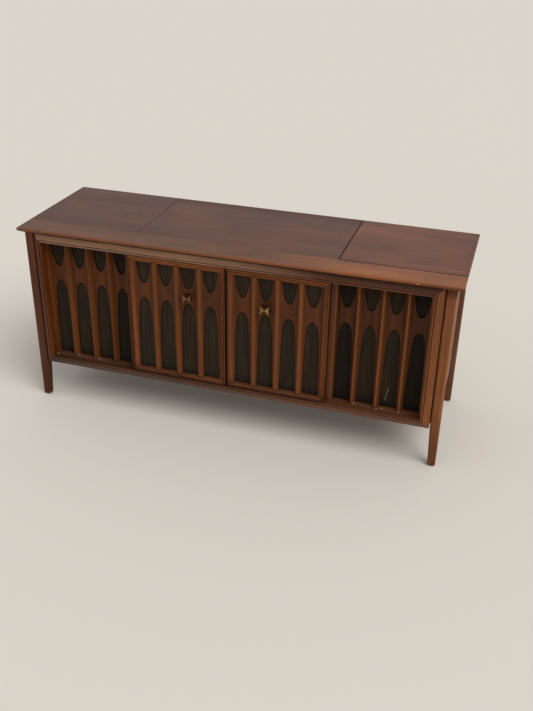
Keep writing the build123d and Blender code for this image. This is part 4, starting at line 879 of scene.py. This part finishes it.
def turned(mesh, centre, profile, steps, flutes=0, depth=0.0):
    """Adds a shape turned about an upright axis. The profile is a closed loop of (radius, height, fluted)."""
    rings = []
    for step in range(steps):
        angle = tau * step / steps
        groove = depth * (0.5 - 0.5 * cos(flutes * angle))
        rings.append([
            mesh.verts.new((*around(centre, radius - groove * fluted, angle), height))
            for radius, height, fluted in profile
        ])
    for ring, after in zip(rings, rings[1:] + rings[:1]):
        for index in range(len(profile)):
            following = (index + 1) % len(profile)
            mesh.faces.new((ring[index], after[index], after[following], ring[following]))


def stadium(start, end, half_width, arc=3):
    """The outline of a line from start to end with round ends."""
    heading = (Vector(end) - Vector(start)).angle_signed(Vector((1.0, 0.0)))
    return [
        around(centre, half_width, heading + tau * (turn + 0.5 * step / arc))
        for centre, turn in ((end, -0.25), (start, 0.25)) for step in range(arc + 1)
    ]


PRINT = 0.07 * MM


def printed_line(mesh, start, end, half_width, face):
    """Adds a printed line on a level face."""
    flat_shape(mesh, stadium(start, end, half_width), face, face + PRINT)


def lettering(mesh, text, size, place, thick=0.06 * MM):
    """Adds plain printed characters on a level face, centred on a place."""
    curve = bpy.data.curves.new("characters", "FONT")
    curve.body = text
    curve.size = size
    curve.extrude = thick / 2
    curve.align_x = curve.align_y = "CENTER"
    curve.resolution_u = 3
    carrier = bpy.data.objects.new("characters", curve)
    link(carrier)
    bpy.context.view_layer.update()
    printed = bpy.data.meshes.new_from_object(carrier.evaluated_get(bpy.context.evaluated_depsgraph_get()))
    bpy.data.objects.remove(carrier)
    bpy.data.curves.remove(curve)
    printed.transform(Matrix.Translation(place))
    mesh.from_mesh(printed)
    bpy.data.meshes.remove(printed)


def finished(name, mesh, material, body):
    """Turns a mesh of small parts into a piece."""
    bmesh.ops.recalc_face_normals(mesh, faces=mesh.faces)
    piece(name, mesh, material, body, False)


DISC_STEPS, DOME_STEPS = 24, 10
DISC_SHARE, DOME_SHARE = 0.14, 0.42
SLOT_ANGLE = 0.28


def screw(mesh, place, normal, radius, turn):
    """Adds a slotted round head that stands on a face: two halves of a low dome over a thin disc."""
    local = bmesh.new()
    axis = (0.0, 0.0)
    disc_top, dome_top, half_slot = DISC_SHARE * radius, DOME_SHARE * radius, SLOT_ANGLE / 2
    disc = [around(axis, radius, tau * step / DISC_STEPS) for step in range(DISC_STEPS)]
    flat_shape(local, disc, 0.0, disc_top)
    for end in (radius, -radius):
        half = [
            around(axis, end, half_slot + (tau / 2 - SLOT_ANGLE) * step / DOME_STEPS)
            for step in range(DOME_STEPS + 1)
        ]
        flat_shape(local, half, disc_top, dome_top, bevel=0.2 * radius)
    data = gathered("screw", local)
    data.transform(
        Matrix.Translation(place) @ Vector(normal).to_track_quat("Z", "Y").to_matrix().to_4x4()
        @ Matrix.Rotation(turn, 4, "Z")
    )
    mesh.from_mesh(data)
    bpy.data.meshes.remove(data)


# Knobs: a fluted grip and a filled line each. Two of them rest turned back to where their marks begin
KNOB_HEIGHT = 17 * MM
KNOB_RIM = 2.5 * MM
KNOB_TAPER = 2.0 / 17.0
LARGE_KNOB = 18 * MM
GRIP_FOOT, GRIP_HEAD = 3.2 * MM, 2.6 * MM
FLUTE_DEPTH = 1.0 * MM
REST_TURNS = {"volume": 150.0, "selector": 60.0}
for knob in KNOBS:
    low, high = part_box(f"{knob}_knob")
    centre = middle(f"{knob}_knob")
    radius = (high.x - low.x) / 2 - KNOB_RIM
    base = high.z - KNOB_HEIGHT
    foot, head = base + GRIP_FOOT, high.z - GRIP_HEAD
    lean = (head - base) * KNOB_TAPER
    flutes = 48 if radius > LARGE_KNOB else 36
    grip = bmesh.new()
    turned(
        grip, centre,
        (
            (radius - 1.2 * MM, foot, 0), (radius + 0.3 * MM, foot, 1),
            (radius + 0.9 * MM - 0.5 * MM * KNOB_TAPER, foot + 0.6 * MM, 1),
            (radius + 0.7 * MM - lean, head - 0.6 * MM, 1), (radius + 0.2 * MM - lean, head, 1),
            (radius - 1.2 * MM - lean, head, 0),
        ),
        6 * flutes, flutes, FLUTE_DEPTH,
    )
    finished(f"{knob}_grip", grip, ARM_PLASTIC, f"{knob}_knob")
    mark = bmesh.new()
    pointing = tau / 4 + radians(REST_TURNS.get(knob, 0.0))
    near, far = (around(centre, share * radius, pointing) for share in (0.35, 0.78))
    flat_shape(mark, stadium(near, far, 0.7 * MM, 6), high.z - 0.2 * MM, high.z + 0.12 * MM, bevel=0.08 * MM)
    finished(f"{knob}_mark", mark, INK, f"{knob}_knob")

# Tuner panel: rings of marks, and plain words under the knobs
MARK_GAP = 2.6 * MM
LONG_MARK, SHORT_MARK = 2.6 * MM, 1.6 * MM
panel_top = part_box("tuner_deck")[1].z
letter_level = panel_top + PRINT / 2
panel = bmesh.new()
for knob, count, sweep in (
    ("volume", 11, 300), ("balance", 11, 300), ("bass", 11, 300), ("treble", 11, 300), ("selector", 4, 120),
    ("tuning", 0, 0),
):
    low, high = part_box(f"{knob}_knob")
    centre = middle(f"{knob}_knob")
    reach = (high.x - low.x) / 2 + MARK_GAP
    for step in range(count):
        angle = tau / 4 + radians(sweep / 2) - radians(sweep) * step / (count - 1)
        long_mark = step in (0, count // 2, count - 1) or count == 4
        outer = reach + (LONG_MARK if long_mark else SHORT_MARK)
        printed_line(panel, around(centre, reach, angle), around(centre, outer, angle), 0.28 * MM, panel_top)
        if knob == "selector":
            place = around(centre, reach + 7.5 * MM, angle)
            lettering(panel, ("PH", "FM", "AM", "AUX")[step], 4.0 * MM, (*place, letter_level))
        elif knob == "volume" and step == 0:
            x, y = around(centre, reach + 6.0 * MM, angle)
            lettering(panel, "OFF", 3.0 * MM, (x - 1.5 * MM, y, letter_level))
    lettering(panel, knob.upper(), 4.6 * MM, (centre.x, centre.y - reach - 6.0 * MM, letter_level))
finished("panel_marks", panel, INK, "case")

# Tuning scale: two rows of numbers with ticks that crowd towards the high end
TRAVEL = 80 * MM
DIVIDERS = (-4.0 * MM, -23.8 * MM)
board_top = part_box("tuner_deck")[0].z
letter_level = board_top + 0.04 * MM
dial_middle = middle("tuning_knob").y
dial_low, dial_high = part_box("dial_scale")
dial_centre = (dial_low.x + dial_high.x) / 2
scale = bmesh.new()
for label, numbers, row, tick_row, bend in (
    ("FM", (88, 92, 96, 100, 104, 108), 0.5 * MM, 5.5 * MM, 1.0),
    ("AM", (54, 60, 70, 80, 100, 120, 140, 160), -19.5 * MM, -14.0 * MM, 0.45),
):
    start, end = numbers[0] ** bend, numbers[-1] ** bend
    shares = [(number ** bend - start) / (end - start) for number in numbers]
    for number, share in zip(numbers, shares):
        x = dial_centre + TRAVEL * (2 * share - 1)
        lettering(scale, str(number), 4.6 * MM, (x, dial_middle + row, letter_level), PRINT)
    quarters = [
        (share + (following - share) * part / 4, part) for share, following in zip(shares, shares[1:])
        for part in range(4)
    ]
    for share, part in quarters + [(1.0, 0)]:
        x, y = dial_centre + TRAVEL * (2 * share - 1), dial_middle + tick_row
        printed_line(scale, (x, y), (x, y + (2.2 if part else 4.0) * MM), 0.25 * MM, board_top)
    for end in (-1, 1):
        x = dial_centre + end * (TRAVEL + 8.5 * MM)
        lettering(scale, label, 3.6 * MM, (x, dial_middle + row, letter_level), PRINT)
for row in DIVIDERS:
    ends = ((dial_centre + end * (TRAVEL + 4 * MM), dial_middle + row) for end in (-1, 1))
    printed_line(scale, *ends, 0.2 * MM, board_top)
finished("scale_print", scale, DIAL_PRINT, "case")

# Mat: moulded rings and spokes, at shares of its radius
RING_SHARES = (0.2, 0.34, 0.42, 0.56, 0.64, 0.78, 0.86, 0.97)
SPOKE_SHARES = ((0.44, 0.54), (0.66, 0.76), (0.88, 0.95))
SPOKES = 24
mat_low, mat_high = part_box("platter_mat")
mat_centre = middle("platter_mat")
mat_radius = (mat_high.x - mat_low.x) / 2
ribs = bmesh.new()
for share in RING_SHARES:
    crest = mat_radius * share
    turned(
        ribs, mat_centre,
        (
            (crest - 1.1 * MM, mat_high.z - 0.3 * MM, 0), (crest - 0.5 * MM, mat_high.z + 0.5 * MM, 0),
            (crest + 0.5 * MM, mat_high.z + 0.5 * MM, 0), (crest + 1.1 * MM, mat_high.z - 0.3 * MM, 0),
        ),
        120,
    )
for step in range(SPOKES):
    for shares in SPOKE_SHARES:
        near, far = (around(mat_centre, mat_radius * share, tau * step / SPOKES) for share in shares)
        spoke = stadium(near, far, 0.9 * MM, 4)
        flat_shape(ribs, spoke, mat_high.z - 0.2 * MM, mat_high.z + 0.45 * MM, bevel=0.2 * MM)
finished("mat_ribs", ribs, MAT_CREST, "platter")

# Tonearm: finger lift, and the screws and trim lines of its head
LIFT_STEPS = 8
LIFT_REACH, LIFT_RISE = 11 * MM, 5 * MM
HEAD_HALF = 8 * MM
PIVOT_DROP, HEAD_RISE = 8 * MM, 5.5 * MM
arm_x = middle("tonearm_turret").x
head_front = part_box("tonearm")[0].y
head_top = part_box("tonearm_turret")[1].z - PIVOT_DROP + HEAD_RISE
lift = bmesh.new()
sections = []
for step in range(LIFT_STEPS + 1):
    share = step / LIFT_STEPS
    x = arm_x + HEAD_HALF + LIFT_REACH * share - 0.6 * MM
    z = head_top - 6.0 * MM + LIFT_RISE * share * share
    half = (3.6 - 1.6 * share) * MM
    sections.append([
        lift.verts.new((x, head_front + 9.0 * MM + y, z + rise))
        for y, rise in ((-half, 0.0), (half, 0.0), (half, 0.9 * MM), (-half, 0.9 * MM))
    ])
for near, far in zip(sections, sections[1:]):
    for index in range(4):
        after = (index + 1) % 4
        lift.faces.new((near[index], near[after], far[after], far[index]))
lift.faces.new(sections[0][::-1])
lift.faces.new(sections[-1])
finished("finger_lift", lift, STEEL, "tonearm")
head_trim = bmesh.new()
for along in (14.0, 26.0):
    screw(head_trim, (arm_x, head_front + along * MM, head_top - 0.05 * MM), (0, 0, 1), 1.9 * MM, 0.3 + along)
for y in (head_front + 4.0 * MM, head_front + 36.0 * MM):
    line = stadium((arm_x - 5.5 * MM, y), (arm_x + 5.5 * MM, y), 0.45 * MM)
    flat_shape(head_trim, line, head_top - 0.1 * MM, head_top + 0.18 * MM)
finished("head_trim", head_trim, STEEL, "tonearm")

# Changer plate: plain words round its lever
PLATE_RISE = 14 * MM
WORD_REACH = 34 * MM
LEVER_HUB = 9 * MM
lever = (middle("changer_lever").x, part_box("changer_lever")[1].y - LEVER_HUB)
plate_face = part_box("turntable_deck")[1].z + PLATE_RISE
plate_words = bmesh.new()
for degrees, word in ((0, "OFF"), (30, "ON"), (60, "REJ")):
    place = around(lever, WORD_REACH, -tau / 4 - radians(degrees))
    lettering(plate_words, word, 3.8 * MM, (*place, plate_face + PRINT / 2))
finished("lever_words", plate_words, INK, "case")

# Screws: hinge leaves, back panel and terminals
BACKWARDS = (0, 1, 0)
HINGE_OFFSET = 120 * MM
SCREW_PITCH = 22 * MM
LEAF_REACH = 13.2 * MM
LEAF_SCREW = 2.2 * MM
leaf_face = REAR_EDGE + 1.2 * MM
hinge_level = BOARD_LOW - 7 * MM
fixed_leaves = bmesh.new()
for side, mirror in (("left", -1), ("right", 1)):
    moving_leaves = bmesh.new()
    for offset in (-HINGE_OFFSET, HINGE_OFFSET):
        for along in (-SCREW_PITCH, 0.0, SCREW_PITCH):
            x = mirror * middle("tuner_deck").x + offset + along
            screw(moving_leaves, (x, leaf_face, hinge_level + LEAF_REACH), BACKWARDS, LEAF_SCREW, 31 * x)
            screw(fixed_leaves, (x, leaf_face, hinge_level - LEAF_REACH), BACKWARDS, LEAF_SCREW, 47 * x)
    finished(f"{side}_leaf_screws", moving_leaves, PLATED, f"{side}_lid")
finished("fixed_leaf_screws", fixed_leaves, PLATED, "case")
SIDE_MARGIN, END_MARGIN = 14 * MM, 12 * MM
back_low, back_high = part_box("back_panel")
panel_screws = bmesh.new()
columns, rows = 7, 3
for column in range(columns):
    for row in range(rows):
        if 0 < column < columns - 1 and 0 < row < rows - 1:
            continue
        x = back_low.x + SIDE_MARGIN + (back_high.x - back_low.x - 2 * SIDE_MARGIN) * column / (columns - 1)
        z = back_low.z + END_MARGIN + (back_high.z - back_low.z - 2 * END_MARGIN) * row / (rows - 1)
        screw(panel_screws, (x, back_high.y, z), BACKWARDS, 3.4 * MM, 0.7 * column + 1.3 * row)
finished("panel_screws", panel_screws, DARK_STEEL, "case")
TERMINAL_LEVEL = 500 * MM
TERMINAL_PITCH = 20 * MM
TERMINAL_REACH = 8 * MM
terminal_screws = bmesh.new()
for step in (-2, -1, 0):
    place = (dial_centre + TERMINAL_PITCH * step, back_high.y + TERMINAL_REACH, TERMINAL_LEVEL)
    screw(terminal_screws, place, BACKWARDS, 2.9 * MM, 0.9 * step + 0.3)
finished("terminal_screws", terminal_screws, STEEL, "case")


# Floor, light and camera

REACH = 60.0
floor_mesh = bpy.data.meshes.new("floor")
corners = [(x * REACH, y * REACH, 0.0) for x, y in ((-1, -1), (1, -1), (1, 1), (-1, 1))]
floor_mesh.from_pydata(corners, [], [(0, 1, 2, 3)])
floor = bpy.data.objects.new("floor", floor_mesh)
link(floor)
floor_paper = Graph("floor_paper", Base_Color=srgb(212, 208, 201), Roughness=0.95, Specular_IOR_Level=0.1)
floor_mesh.materials.append(floor_paper.material)

world = bpy.data.worlds.new("studio")
scene.world = world
world.use_nodes = True
sky = world.node_tree.nodes["Background"]
sky.inputs["Color"].default_value = (1.0, 0.985, 0.96, 1.0)
sky.inputs["Strength"].default_value = 0.63

TOWARD_SUN = Vector((0.9, -0.55, 1.2))
sun = bpy.data.lights.new("key", "SUN")
sun.energy = 1.85
sun.angle = radians(42.0)
sun.color = (1.0, 0.97, 0.92)
key = bpy.data.objects.new("key", sun)
key.rotation_euler = TOWARD_SUN.to_track_quat("Z", "Y").to_euler()
link(key)

EYE = (0.8830, -2.6713, 1.7229)
FOCAL_LENGTH = 43.70
yaw, pitch, roll = radians(16.877), radians(-28.732), radians(1.072)
forward = Vector((-sin(yaw) * cos(pitch), cos(yaw) * cos(pitch), sin(pitch)))
level_right = Vector((cos(yaw), sin(yaw), 0.0))
level_up = level_right.cross(forward)
right = cos(roll) * level_right + sin(roll) * level_up
upward = cos(roll) * level_up - sin(roll) * level_right
lens = bpy.data.cameras.new("camera")
lens.sensor_fit = "VERTICAL"
lens.sensor_height = 36.0
lens.lens = FOCAL_LENGTH
camera = bpy.data.objects.new("camera", lens)
camera.matrix_world = Matrix.Translation(EYE) @ Matrix((right, upward, -forward)).transposed().to_4x4()
link(camera)
scene.camera = camera
scene.view_settings.view_transform = "Standard"


def plain(bounds):
    """A box of vectors as lists of numbers."""
    return [[round(value, 6) for value in corner] for corner in bounds]
